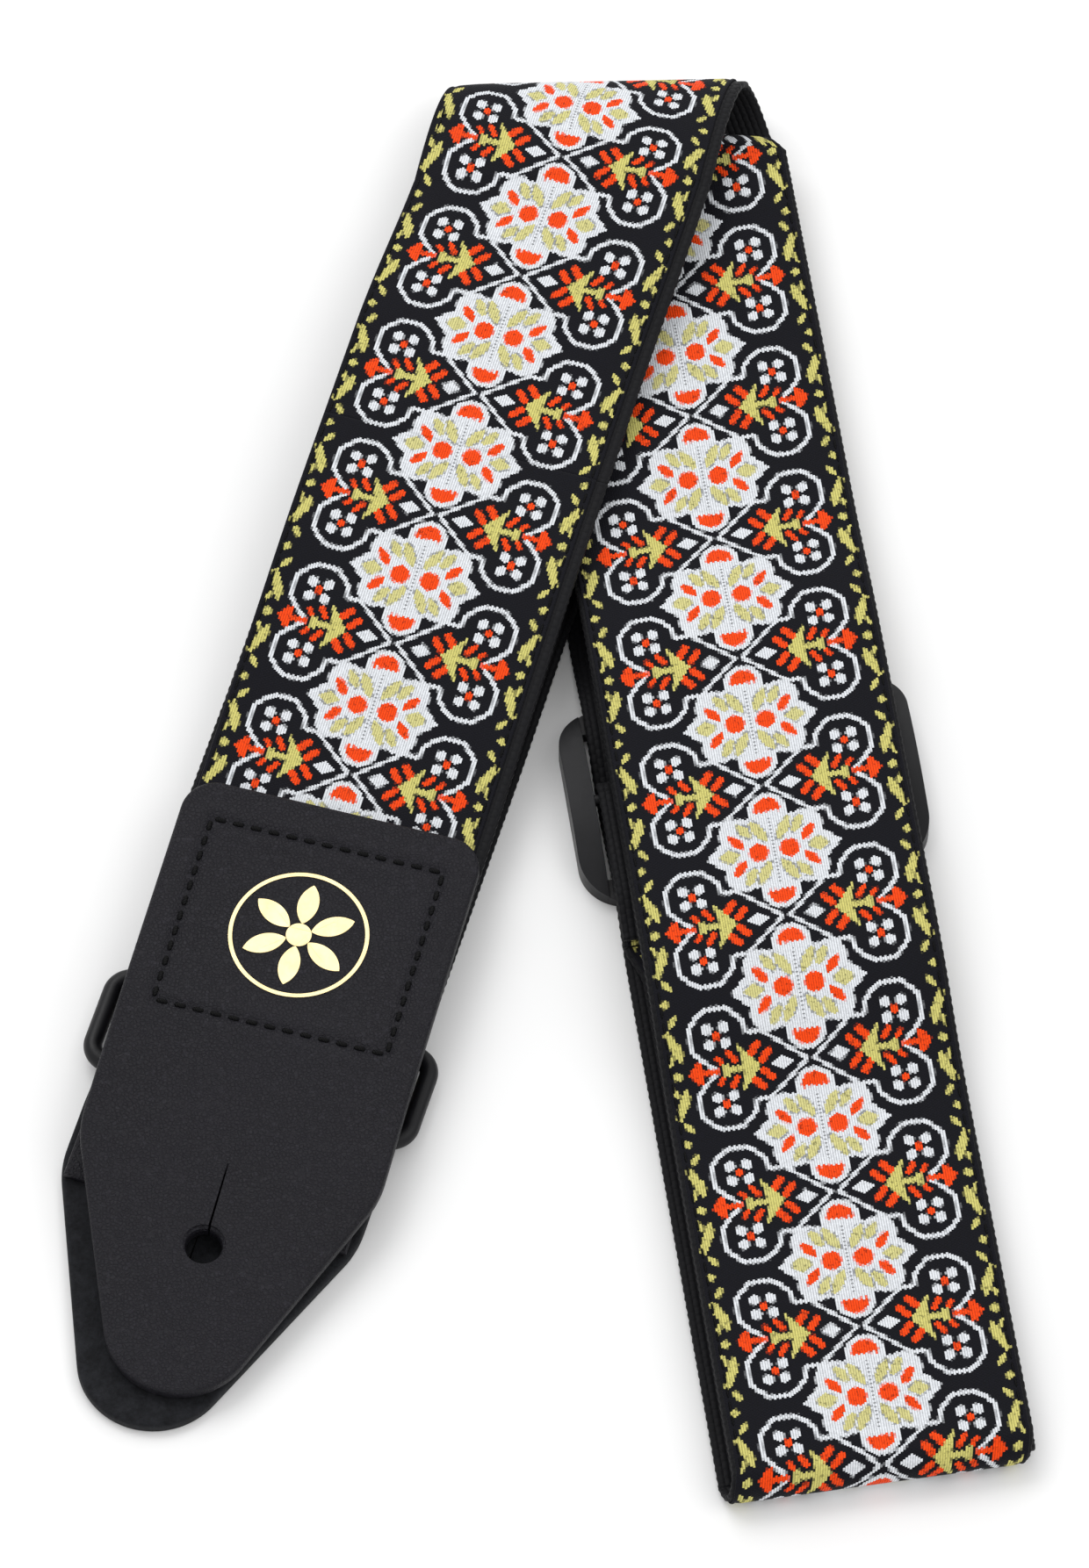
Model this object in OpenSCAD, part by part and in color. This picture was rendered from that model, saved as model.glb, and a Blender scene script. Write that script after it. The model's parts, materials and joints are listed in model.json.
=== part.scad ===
// Two inch guitar strap with a woven jacquard face, leather ends, a slider and
// an end loop, folded in four and laid flat on a table.
// Millimetres, +Z up, the table is z = 0. The top fold is at the +Y end.

/* [Strap] */
// Width of the backing webbing
strap_w = 50.8; // [48:0.1:51.2]
// Thickness of the backing webbing
webbing_t = 1.2; // [0.9:0.05:1.2]
// Width of the jacquard ribbon sewn on the webbing
ribbon_w = 49.4; // [46:0.1:50]
// Thickness of the jacquard ribbon
ribbon_t = 0.5; // [0.3:0.05:0.5]
// Distance of the edge seams from the ribbon's edge
seam_inset = 0.7; // [0.6:0.1:2]
// Width of the thread in the edge seams
seam_w = 0.5; // [0.4:0.1:0.6]

/* [Layout] */
// Turn of the left leg away from straight down the table
left_turn = 16.4; // [15.5:0.1:17]
// Turn of the right leg the other way
right_turn = 8.7; // [8.2:0.1:9.2]
// Length of the right leg from its origin to the middle of the bottom fold
right_leg_end = 214.1; // [200:0.1:220]
// Outer radius of the soft top fold
top_fold_r = 7.6; // [7.4:0.1:8.5]
// Outer radius of the pressed folds
fold_r = 3.9; // [3.8:0.05:4.1]

/* [Leather ends] */
// Width of the leather ends
leather_w = 52.6; // [51:0.1:54]
// Length of the front leather end
leather_l = 110.8; // [104:0.1:115]
// Thickness of the leather
leather_t = 2.4; // [2:0.1:2.4]
// Thickness of the skived leather that goes round the loop
skived_t = 1.7; // [1.2:0.1:1.7]
// Radius of the rounded tip
tip_r = 13; // [11:0.5:14]
// Slope of the tapered sides
taper_angle = 22.7; // [20:0.1:25]
// Radius of the strap button hole
button_hole_r = 3.1; // [2.8:0.05:3.6]
// Length of the slit that opens the button hole
slit_l = 12; // [9:0.5:14]
// Distance of the button hole from the tip
button_hole_back = 26.7; // [25:0.1:28]

/* [Loop and slider] */
// Outside width of the end loop
loop_w = 59.5; // [59:0.1:61]
// Diameter of the loop's round bars
loop_bar_d = 3.2; // [2.8:0.1:3.3]
// Outside width of the slider
slider_w = 60.8; // [60:0.1:62]
// Outside length of the slider along the strap
slider_l = 37.5; // [37:0.1:38]
// Thickness of the slider's end bars
slider_bar_t = 2.5; // [2.2:0.05:2.5]

/* [Stitching] */
// Length of one stitch in the leather
stitch_l = 2.1; // [1.6:0.1:2.3]
// Distance from one stitch to the next
stitch_pitch = 2.95; // [2.7:0.05:3.3]

/* [Hidden] */
$fn = 64;
layer_t = webbing_t + ribbon_t;
layer_pitch = 1.9;
body_gap = 0.3;
centre_x = -0.0997;
centre_y = -0.2526;
up = 1;
down = -1;

// leg frames: local X runs down the leg, local Y across it
left_origin = [6.5 - centre_x, 131.2 - centre_y];
back_offset = 3;
back_turn = left_turn + 0.8;
right_origin = [23.7 - centre_x, 81.3 - centre_y];
lower_offset = -2.2;

// the crease line of the top fold, square to the bisector of the two legs
crease_turn = (left_turn - right_turn) / 2;
half_v = (left_turn + right_turn) / 2;
outer_crease = [12 - centre_x, 128.1 - centre_y];
inner_setback = 2.4;
inner_crease = outer_crease - inner_setback * [sin(crease_turn), cos(crease_turn)];
fold_steps = 18;
fold_half = strap_w / 2 / cos(half_v);
ribbon_half = ribbon_w / 2 / cos(half_v);
inner_fold_z = layer_pitch + fold_r;
top_fold_z = top_fold_r;
tail_fold_r = fold_r - layer_pitch;

// heights of the undersides of the layers, as [distance along the leg, height]
front_z = 2 * top_fold_r - layer_t;
front_low = 7.3;
front_path = [[-12, front_z], [9, front_z], [30, 12.9], [96, 12.9], [148.2, front_low]];
front_end_path = [[148.5, front_low], [193, front_low]];
back_path = [[-14, layer_pitch], [103, layer_pitch], [127, 0], [185.9, 0]];
bight_s = 185.9;
bight_z = 3.5;
bight_in = 1.8;
bight_top = bight_z + bight_in;
tail_back_path = [[-14, 2 * layer_pitch], [103, 2 * layer_pitch], [127, layer_pitch],
  [164, layer_pitch], [180, bight_top - 0.2], [185.9, bight_top]];
upper_path = [[-60, 8], [39, 8], [55, 10.7], [126, 10.7], [144, 6.1], [right_leg_end, 6.1]];
tail_upper_path = [for (p = upper_path) [p[0], p[1] - layer_pitch]];
slider_s = 84;
wave_from = 40;
wave_to = 128;
hem_to = 112;
lower_path = [[-64, 0], [wave_from, 0]];
wave_path = [[wave_from, 0], [55, 0], [64, 2.7], [71, 2.7], [80, 0], [88, 0], [97, 2.7],
  [104, 2.7], [113, 0], [wave_to, 0]];
lower_end_path = [[wave_to, 0], [right_leg_end, 0]];
tail_lower_path = [[hem_to + body_gap, layer_pitch + 0.25], [114, layer_pitch],
  [right_leg_end, layer_pitch]];

// the slider's centre bar and the tail sewn round it
centre_bar_r = 1;
centre_bar_z = 4.8;
hem_in = 1.2;
hem_low_path = [[slider_s, 1.9], [88, 1.9], [97, 4.6], [104, 4.6], [hem_to, 2.2]];
hem_top_path = [[slider_s, 6], [97, 6.5], [104, 6.5], [hem_to, 4.1]];

// leather outline
shoulder_r = 18;
leather_corner_r = 6;
tip_centre = leather_l - tip_r;
shoulder_s = tip_centre + tip_r * sin(taper_angle)
  + (tip_r * cos(taper_angle) - leather_w / 2 + shoulder_r * (1 - cos(taper_angle))) / tan(taper_angle)
  - shoulder_r * sin(taper_angle);
front_leather_s = 148.5;
front_leather_twist = 1.3;
front_leather_path = [[0, 9.1], [46, 9.1], [62, 7.5], [89, 4.7], [leather_l + 1, 2.9]];
back_tip_s = 265.1;
back_leather_s = back_tip_s - leather_l;
back_bar_s = 202.7;
fold_over_to = 225;
leather_neck_w = 50;
leather_from = 208.5;

// end loop
loop_corner_r = 3.5;
loop_half = (loop_w - loop_bar_d) / 2;

// box of stitches on the front leather end
box_s = 25.2;
box_l = 36;
box_w = 41;
stitch_w = 0.7;
stitch_t = 0.25;
leather_top = 9.1 + leather_t;

// Sub-part to show on its own

webbing_c = [0.07, 0.07, 0.08];
jacquard_c = [0.55, 0.48, 0.38];
thread_c = [0.03, 0.03, 0.03];
leather_c = [0.19, 0.19, 0.21];
plastic_c = [0.1, 0.1, 0.11];
gold_c = [0.85, 0.7, 0.35];

// ---------- frames ----------

module left_leg() {
  translate([left_origin[0], left_origin[1], 0])
    rotate([0, 0, -90 - left_turn]) children();
}

module back_leg() {
  translate([left_origin[0], left_origin[1], 0])
    rotate([0, 0, -90 - left_turn]) translate([0, back_offset, 0])
      rotate([0, 0, left_turn - back_turn]) children();
}

module right_leg() {
  translate([right_origin[0], right_origin[1], 0])
    rotate([0, 0, -90 + right_turn]) children();
}

module lower_leg() {
  right_leg() translate([0, lower_offset, 0]) children();
}

module crease(at) {
  translate([at[0], at[1], 0]) rotate([0, 0, -crease_turn]) children();
}

// where a leg's centre line meets a crease, measured along the crease
function along_crease(at, origin, turn) =
  let (d = origin - at,
       x = d[0] * cos(crease_turn) - d[1] * sin(crease_turn),
       y = d[0] * sin(crease_turn) + d[1] * cos(crease_turn))
  x - y * tan(turn - crease_turn);

// ---------- strap pieces ----------

function raise(path, by) = [for (p = path) [p[0], p[1] + by]];

// a flat band that follows a side profile; path is its underside
module band(path, w, t) {
  n = len(path) - 1;
  rotate([90, 0, 0]) linear_extrude(height = w, center = true)
    polygon(concat(path, [for (i = [n:-1:0]) [path[i][0], path[i][1] + t]]));
}

module webbing(path, face) {
  color(webbing_c) band(raise(path, face == up ? 0 : ribbon_t), strap_w, webbing_t);
}

module jacquard(path, face) {
  color(jacquard_c) band(raise(path, face == up ? webbing_t : 0), ribbon_w, ribbon_t);
}

module seams(path) {
  for (side = [-1, 1])
    color(thread_c) translate([0, side * (ribbon_w / 2 - seam_inset), 0])
      band(raise(path, layer_t), seam_w, 0.12);
}

// keeps what lies on the legs' side of a crease
module before_crease(at) {
  intersection() {
    children();
    crease(at) translate([-150, -400, -5]) cube([300, 400, 60]);
  }
}

// half turn of a band round a horizontal crease: local X is the crease, local Y points
// away from the legs; the band slides sideways by slip as it goes from top to bottom
module half_turn(r_in, r_out, z, half, at_top, slip) {
  n = fold_steps;
  points = [for (i = [0:n]) let (a = 180 * i / n, x = at_top + slip * i / n)
    for (c = [[r_in, -half], [r_out, -half], [r_out, half], [r_in, half]])
      [x + c[1], c[0] * sin(a), z + c[0] * cos(a)]];
  sides = [for (i = [0:n - 1]) for (k = [0:3]) let (a = 4 * i + k, b = 4 * i + (k + 1) % 4)
    each [[a, b, b + 4], [a, b + 4, a + 4]]];
  polyhedron(points = points, faces = concat([[3, 2, 1, 0]], sides,
    [[4 * n, 4 * n + 1, 4 * n + 2, 4 * n + 3]]), convexity = 4);
}

// half ring round a bar that lies across the strap; side is +1 for the far side
module bar_wrap(r_in, r_out, w, side) {
  rotate([90, 0, 0]) linear_extrude(height = w, center = true) difference() {
    circle(r = r_out);
    circle(r = r_in);
    translate([side > 0 ? -2 * r_out : 0, -2 * r_out]) square([2 * r_out, 4 * r_out]);
  }
}

// ---------- left leg, top layer: the front run ----------

module webbing_front_run() {
  before_crease(outer_crease) left_leg() webbing(front_path, up);
}

module jacquard_front_run() {
  before_crease(outer_crease) left_leg() jacquard(front_path, up);
}

module seams_front_run() {
  before_crease(outer_crease) left_leg() seams(front_path);
}

module webbing_front_end() {
  left_leg() webbing(front_end_path, up);
}

module jacquard_front_end() {
  left_leg() jacquard(front_end_path, up);
}

// ---------- leather ends ----------

function arc_points(x, y, r, from, to, steps) = [for (i = [0:steps])
  let (a = from + (to - from) * i / steps) [x + r * cos(a), y + r * sin(a)]];

// outline of a leather end, its square top edge at x = 0 and its tip at x = leather_l
module leather_outline() {
  half = concat(
    arc_points(tip_centre, 0, tip_r, 0, 90 - taper_angle, 8),
    arc_points(shoulder_s, leather_w / 2 - shoulder_r, shoulder_r, 90 - taper_angle, 90, 4),
    arc_points(leather_corner_r, leather_w / 2 - leather_corner_r, leather_corner_r, 90, 180, 6));
  n = len(half) - 1;
  polygon(concat(half, [for (i = [n:-1:1]) [half[i][0], -half[i][1]]]));
}

module button_hole() {
  translate([leather_l - button_hole_back, 0, -1]) cylinder(r = button_hole_r, h = 30);
  translate([leather_l - button_hole_back - button_hole_r - slit_l, -0.25, -1])
    cube([slit_l + 1, 0.5, 30]);
}

module front_leather_frame() {
  left_leg() translate([front_leather_s, 0.3, 0]) rotate([0, 0, front_leather_twist]) children();
}

module front_leather_end() {
  color(leather_c) front_leather_frame() difference() {
    intersection() {
      linear_extrude(height = 20) leather_outline();
      band(concat([[-1, 9.1]], front_leather_path), leather_w + 10, leather_t);
    }
    button_hole();
  }
}

module stitch_row(from, to) {
  d = to - from;
  n = floor(norm(d) / stitch_pitch);
  for (i = [0:n - 1])
    translate(from + d * (i + 0.5) / n) rotate([0, 0, atan2(d[1], d[0])])
      translate([-stitch_l / 2, -stitch_w / 2, 0]) cube([stitch_l, stitch_w, stitch_t]);
}

module front_box_stitching() {
  b = box_l / 2;
  w = box_w / 2;
  corners = [[-b, -w, 0], [b, -w, 0], [b, w, 0], [-b, w, 0]];
  color(thread_c) front_leather_frame() translate([box_s, 0, leather_top])
    for (i = [0:3]) stitch_row(corners[i], corners[(i + 1) % 4]);
}

// a plain six-petal rosette of foil with a dot in the middle
module front_foil_ornament() {
  color(gold_c) front_leather_frame() translate([box_s, 0, leather_top])
    linear_extrude(height = 0.1) {
      circle(r = 2.2);
      for (a = [0:60:300]) rotate(a) translate([6, 0]) intersection() {
        translate([0, -3.2]) circle(r = 5);
        translate([0, 3.2]) circle(r = 5);
      }
      difference() {
        circle(r = 12);
        circle(r = 11.3);
      }
    }
}

module back_leather_end() {
  color(leather_c) back_leg() {
    difference() {
      translate([back_leather_s, 0, 0]) linear_extrude(height = leather_t) leather_outline();
      translate([back_leather_s - 1, -40, -1])
        cube([leather_from - back_leather_s + 1, 80, 10]);
      translate([back_leather_s, 0, -2]) button_hole();
    }
    band([[back_bar_s, 0], [leather_from + 1, 0]], leather_neck_w, skived_t);
    translate([back_bar_s, 0, bight_z])
      bar_wrap(bight_in, bight_in + skived_t, leather_neck_w, -1);
    band([[back_bar_s, bight_top], [206, bight_top - 0.2], [214, leather_t],
      [fold_over_to, leather_t]], leather_neck_w, skived_t);
  }
}

module back_leather_stitching() {
  top = leather_t + skived_t;
  color(thread_c) back_leg() for (s = [216, 222.5])
    stitch_row([s, -22, top], [s, 22, top]);
}

// ---------- top fold and right leg ----------

top_fold_from = along_crease(outer_crease, left_origin, left_turn);
top_fold_to = along_crease(outer_crease, right_origin, -right_turn) + lower_offset / cos(half_v);
inner_fold_from = along_crease(inner_crease, right_origin, -right_turn);
inner_fold_to = along_crease(inner_crease, left_origin, back_turn) + back_offset / cos(half_v);

module webbing_top_fold() {
  color(webbing_c) crease(outer_crease) half_turn(top_fold_r - layer_t, top_fold_r - ribbon_t,
    top_fold_z, fold_half, top_fold_from, top_fold_to - top_fold_from);
}

module jacquard_top_fold() {
  color(jacquard_c) crease(outer_crease) half_turn(top_fold_r - ribbon_t, top_fold_r,
    top_fold_z, ribbon_half, top_fold_from, top_fold_to - top_fold_from);
}

module webbing_lower_run() {
  before_crease(outer_crease) lower_leg() webbing(lower_path, down);
}

module jacquard_lower_run() {
  before_crease(outer_crease) lower_leg() jacquard(lower_path, down);
}

module webbing_slider_wave() {
  lower_leg() webbing(wave_path, down);
}

module jacquard_slider_wave() {
  lower_leg() jacquard(wave_path, down);
}

module webbing_lower_end() {
  lower_leg() webbing(lower_end_path, down);
}

module jacquard_lower_end() {
  lower_leg() jacquard(lower_end_path, down);
}

module bottom_fold_frame() {
  right_leg() translate([right_leg_end, 0, 0]) rotate([0, 0, -90]) children();
}

module webbing_bottom_fold() {
  color(webbing_c) bottom_fold_frame()
    half_turn(fold_r - layer_t, fold_r - ribbon_t, fold_r, strap_w / 2, 0, -lower_offset);
}

module jacquard_bottom_fold() {
  color(jacquard_c) bottom_fold_frame()
    half_turn(fold_r - ribbon_t, fold_r, fold_r, ribbon_w / 2, 0, -lower_offset);
}

module webbing_upper_run() {
  before_crease(inner_crease) right_leg() webbing(upper_path, up);
}

module jacquard_upper_run() {
  before_crease(inner_crease) right_leg() jacquard(upper_path, up);
}

module seams_upper_run() {
  before_crease(inner_crease) right_leg() seams(upper_path);
}

module webbing_inner_fold() {
  color(webbing_c) crease(inner_crease) half_turn(fold_r - layer_t, fold_r - ribbon_t,
    inner_fold_z, fold_half, inner_fold_from, inner_fold_to - inner_fold_from);
}

module jacquard_inner_fold() {
  color(jacquard_c) crease(inner_crease) half_turn(fold_r - ribbon_t, fold_r,
    inner_fold_z, ribbon_half, inner_fold_from, inner_fold_to - inner_fold_from);
}

// ---------- left leg, lower layers: the back run and the turn round the loop ----------

module webbing_back_run() {
  before_crease(inner_crease) back_leg() webbing(back_path, down);
}

module jacquard_back_run() {
  before_crease(inner_crease) back_leg() jacquard(back_path, down);
}

module webbing_loop_bight() {
  color(webbing_c) back_leg() translate([bight_s, 0, bight_z])
    bar_wrap(bight_in, bight_in + webbing_t, strap_w, 1);
}

module jacquard_loop_bight() {
  color(jacquard_c) back_leg() translate([bight_s, 0, bight_z])
    bar_wrap(bight_in + webbing_t, bight_in + layer_t, ribbon_w, 1);
}

// ---------- the tail, back to back with the strap ----------

module webbing_tail_back() {
  before_crease(inner_crease) back_leg() webbing(tail_back_path, up);
}

module jacquard_tail_back() {
  before_crease(inner_crease) back_leg() jacquard(tail_back_path, up);
}

module webbing_tail_inner_fold() {
  color(webbing_c) crease(inner_crease) half_turn(tail_fold_r - webbing_t, tail_fold_r,
    inner_fold_z, fold_half, inner_fold_from, inner_fold_to - inner_fold_from);
}

module jacquard_tail_inner_fold() {
  color(jacquard_c) crease(inner_crease)
    half_turn(tail_fold_r - layer_t, tail_fold_r - webbing_t, inner_fold_z, ribbon_half,
      inner_fold_from, inner_fold_to - inner_fold_from);
}

module webbing_tail_upper() {
  before_crease(inner_crease) right_leg() webbing(tail_upper_path, down);
}

module jacquard_tail_upper() {
  before_crease(inner_crease) right_leg() jacquard(tail_upper_path, down);
}

module webbing_tail_bottom_fold() {
  color(webbing_c) bottom_fold_frame()
    half_turn(tail_fold_r - webbing_t, tail_fold_r, fold_r, strap_w / 2, 0, -lower_offset);
}

module jacquard_tail_bottom_fold() {
  color(jacquard_c) bottom_fold_frame() half_turn(tail_fold_r - layer_t,
    tail_fold_r - webbing_t, fold_r, ribbon_w / 2, 0, -lower_offset);
}

module webbing_tail_lower() {
  lower_leg() webbing(tail_lower_path, up);
}

module jacquard_tail_lower() {
  lower_leg() jacquard(tail_lower_path, up);
}

// ---------- slider with the tail's sewn hem ----------

module rounded_plan(l, w, r) {
  square([l - 2 * r, w], center = true);
  square([l, w - 2 * r], center = true);
  for (x = [-1, 1]) for (y = [-1, 1])
    translate([x * (l / 2 - r), y * (w / 2 - r)]) circle(r = r);
}

module slider_frame() {
  rail_in = strap_w / 2 + 0.6;
  arch_rise = 3.8;
  arch_r = (pow(slider_l / 2, 2) + pow(arch_rise, 2)) / (2 * arch_rise);
  slot_l = slider_l / 2 - 4.4;
  color(plastic_c) lower_leg() translate([slider_s, 0, 0]) {
    linear_extrude(height = slider_bar_t) difference() {
      rounded_plan(slider_l, slider_w, 8);
      square([2 * slot_l, 2 * rail_in], center = true);
    }
    intersection() {
      linear_extrude(height = 20) difference() {
        rounded_plan(slider_l, slider_w, 8);
        square([2 * slider_l, 2 * rail_in], center = true);
      }
      translate([0, 0, slider_bar_t + arch_rise - arch_r]) rotate([90, 0, 0])
        cylinder(r = arch_r, h = slider_w + 2, center = true, $fn = 120);
    }
    translate([0, 0, centre_bar_z]) rotate([90, 0, 0])
      cylinder(r = centre_bar_r, h = 2 * rail_in + 2, center = true);
  }
}

module webbing_tail_hem() {
  color(webbing_c) lower_leg() {
    band(hem_low_path, strap_w, webbing_t);
    translate([slider_s, 0, centre_bar_z])
      bar_wrap(hem_in + ribbon_t, hem_in + layer_t, strap_w, -1);
    band(raise(hem_top_path, ribbon_t), strap_w, webbing_t);
  }
}

module jacquard_tail_hem() {
  color(jacquard_c) lower_leg() {
    band(raise(hem_low_path, webbing_t), ribbon_w, ribbon_t);
    translate([slider_s, 0, centre_bar_z])
      bar_wrap(hem_in, hem_in + ribbon_t, ribbon_w, -1);
    band(hem_top_path, ribbon_w, ribbon_t);
  }
}

module tail_hem_stitching() {
  hem_top = hem_top_path[1][1] + layer_t;
  color(thread_c) lower_leg() for (s = [98.5, 102.5])
    stitch_row([s, -21, hem_top], [s, 21, hem_top]);
}

// ---------- end loop ----------

module strap_loop() {
  r = loop_bar_d / 2;
  mid = (bight_s + back_bar_s) / 2;
  half_l = (back_bar_s - bight_s) / 2;
  color(plastic_c) back_leg() translate([mid, 0, bight_z]) {
    for (x = [-1, 1]) translate([x * half_l, 0, 0]) rotate([90, 0, 0])
      cylinder(r = r, h = 2 * (loop_half - loop_corner_r), center = true);
    for (y = [-1, 1]) translate([0, y * loop_half, 0]) rotate([0, 90, 0])
      cylinder(r = r, h = 2 * (half_l - loop_corner_r), center = true);
    for (x = [0, 1]) for (y = [0, 1]) mirror([x, 0, 0]) mirror([0, y, 0])
      translate([half_l - loop_corner_r, loop_half - loop_corner_r, 0])
        rotate_extrude(angle = 90) translate([loop_corner_r, 0]) circle(r = r);
  }
}

webbing_front_run();
jacquard_front_run();
seams_front_run();
webbing_front_end();
jacquard_front_end();
front_leather_end();
front_box_stitching();
front_foil_ornament();
webbing_top_fold();
jacquard_top_fold();
webbing_lower_run();
jacquard_lower_run();
webbing_slider_wave();
jacquard_slider_wave();
webbing_lower_end();
jacquard_lower_end();
webbing_bottom_fold();
jacquard_bottom_fold();
webbing_upper_run();
jacquard_upper_run();
seams_upper_run();
webbing_inner_fold();
jacquard_inner_fold();
webbing_back_run();
jacquard_back_run();
webbing_loop_bight();
jacquard_loop_bight();
webbing_tail_back();
jacquard_tail_back();
webbing_tail_inner_fold();
jacquard_tail_inner_fold();
webbing_tail_upper();
jacquard_tail_upper();
webbing_tail_bottom_fold();
jacquard_tail_bottom_fold();
webbing_tail_lower();
jacquard_tail_lower();
slider_frame();
webbing_tail_hem();
jacquard_tail_hem();
tail_hem_stitching();
strap_loop();
back_leather_end();
back_leather_stitching();
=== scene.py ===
"""Looks of a folded two inch guitar strap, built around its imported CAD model. Lengths are in
mm inside the helpers and turn to metres where a mesh is made."""

import json
import math
import random

import bmesh
import bpy
import numpy as np
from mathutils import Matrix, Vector

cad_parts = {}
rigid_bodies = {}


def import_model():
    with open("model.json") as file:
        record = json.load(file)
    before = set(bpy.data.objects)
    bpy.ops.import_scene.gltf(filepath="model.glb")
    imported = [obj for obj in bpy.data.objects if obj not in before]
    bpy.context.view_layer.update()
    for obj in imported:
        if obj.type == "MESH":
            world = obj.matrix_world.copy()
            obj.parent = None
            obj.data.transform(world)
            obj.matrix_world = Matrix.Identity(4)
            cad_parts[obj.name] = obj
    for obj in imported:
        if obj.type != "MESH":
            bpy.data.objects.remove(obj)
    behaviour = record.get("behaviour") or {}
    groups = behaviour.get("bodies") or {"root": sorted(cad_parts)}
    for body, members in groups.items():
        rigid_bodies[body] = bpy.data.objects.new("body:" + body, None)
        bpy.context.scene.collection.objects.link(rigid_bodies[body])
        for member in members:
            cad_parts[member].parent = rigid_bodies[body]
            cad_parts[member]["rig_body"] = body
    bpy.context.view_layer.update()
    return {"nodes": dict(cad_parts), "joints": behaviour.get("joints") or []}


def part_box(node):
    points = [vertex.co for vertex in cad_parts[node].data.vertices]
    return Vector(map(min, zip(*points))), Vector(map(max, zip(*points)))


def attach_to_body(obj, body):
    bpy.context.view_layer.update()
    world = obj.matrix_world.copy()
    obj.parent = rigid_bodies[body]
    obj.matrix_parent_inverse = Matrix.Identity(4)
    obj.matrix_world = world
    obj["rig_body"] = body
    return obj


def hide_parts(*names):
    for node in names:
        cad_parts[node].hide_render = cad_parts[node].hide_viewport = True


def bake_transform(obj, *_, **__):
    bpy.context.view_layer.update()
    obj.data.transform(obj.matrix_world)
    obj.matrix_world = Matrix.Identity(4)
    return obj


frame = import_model()

MM = 0.001
UP = np.array([0.0, 0.0, 1.0])
JOINTS = {j["name"]: j for j in frame["joints"]}
RNG = random.Random(7)

# ---- sizes, in mm
WEBBING_W, WEBBING_T = 50.8, 1.2
RIBBON_W, RIBBON_T = 49.4, 0.5
LAYER_T = WEBBING_T + RIBBON_T
PITCH = 1.9
TOP_R, FOLD_R = 7.6, 3.9
TAIL_R = FOLD_R - PITCH
BEND_S = 147.7
BIGHT_S, BAR_S, BAR_Z, BIGHT_IN = 185.9, 202.7, 3.5, 1.8
SLIDER_S, RIGHT_END = 84.0, 214.1
FRONT_SPLIT, FRONT_END = 75.0, 193.0
HEM_TO = 112.0
CENTRE_BAR_Z, HEM_IN = 4.8, 1.2
REPEAT = 25.4
PATTERN_START = 0.6
SEAM_IN, SEAM_START, SEAM_L, SEAM_R = 0.9, 6, 2.3, 0.2
# the right leg lies a little to the right of the lower run, and the inner fold inside the outer
RIGHT_ASIDE, INNER_BACK = 2.2, 2.4
# the outer fold is looser on its right, over the inner fold, and leans to the right
CONE, LEAN, LEAN_TO = 0.05, 0.7, 56.0
TOP_REACH, TOP_OUT = 24.0, 2.0
EDGE_DROOP, DROOP_FROM, DROOP_OVER = 0.7, 13.0, 12.4
# how far along a run a crease's slant is felt, and between where a pattern drifts sideways
EASE_OVER = 34.0
SKEW_SPAN, SKEW_RIGHT = (60, 190), (0.05, 0.0)
# the tail's sideways shift on the back run, and where it eases in and out
TAIL_TUCK, TUCK_FROM, TUCK_OVER, DRIFT_OVER = 2.4, 184.0, 20.0, 9.0
WEB_OFFSET, WEB_WIDER = 1.1, 0.011
# distance between cross-sections
STEP = 0.5
# lengths of the band's middle round the folds, the loop's bar and the slider's bar
TOP_TURN, FOLD_TURN, BIGHT_TURN = (math.pi * r for r in (TOP_R - 0.5, 3.4, 2.6))
TAIL_TURNS, HEM_TURN = 12.0, 7.0
# where each run passes from its first body to its second; bake_transform is given them but does not
# use them
BEND_BLEND = (BEND_S - 2.2, BEND_S + 1.6)
LOWER_BLEND, LOWER_END_BLEND, TAIL_BLEND = (12.0, 57.0), (196.0, 112.0), (208.0, 113.0)

# heights of the undersides of the runs, as (distance down the leg, height)
FRONT_PATH = [(-20, 13.5), (9, 13.5), (30, 12.9), (96, 12.9), (148.2, 7.3), (200, 7.3)]
LEATHER_PATH = [(90, 14.9), (96, 14.7), (148.2, 9.1), (194.5, 9.1), (210.5, 7.5), (237.5, 4.7),
                (262, 2.8)]
BACK_PATH = [(-20, 1.9), (103, 1.9), (127, 0), (200, 0)]
TAIL_BACK_PATH = [(-20, 3.8), (103, 3.8), (127, 1.9), (164, 1.9), (180, 5.1), (185.9, 5.3)]
UPPER_PATH = [(-60, 8), (39, 8), (55, 10.7), (126, 10.7), (144, 6.1), (RIGHT_END + 9, 6.1)]
TAIL_UPPER_PATH = [(s, z - PITCH) for s, z in UPPER_PATH]
LOWER_PATH = [(-64, 0), (55, 0), (64, 2.7), (71, 2.7), (80, 0), (88, 0), (97, 2.7), (104, 2.7),
              (113, 0), (RIGHT_END + 9, 0)]
TAIL_LOWER_PATH = [(HEM_TO, 2.15), (114, 1.9), (RIGHT_END + 9, 1.9)]
HEM_LOW_PATH = [(84, 1.9), (88, 1.9), (97, 4.6), (104, 4.6), (112, 2.2)]
HEM_TOP_PATH = [(84, 6), (97, 6.5), (104, 6.5), (112, 4.1)]


def smooth_profile(path, sigma):
    """Height and slope along a run, its path's corners rounded off, as a function of s."""
    step, margin, spread = 0.25, 30, 4
    s = np.arange(path[0][0] - margin, path[-1][0] + margin, step)
    z = np.interp(s, [p[0] for p in path], [p[1] for p in path])
    if sigma > 0:
        reach = int(spread * sigma / step)
        kernel = np.exp(-0.5 * (np.arange(-reach, reach + 1) * step / sigma) ** 2)
        z = np.convolve(np.pad(z, reach, mode="edge"), kernel / kernel.sum(), mode="valid")
    slope = np.gradient(z, step)
    return lambda at: (np.interp(at, s, z), np.interp(at, s, slope))


def eased(value):
    value = np.clip(value, 0, 1)
    return value * value * (3 - 2 * value)


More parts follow.
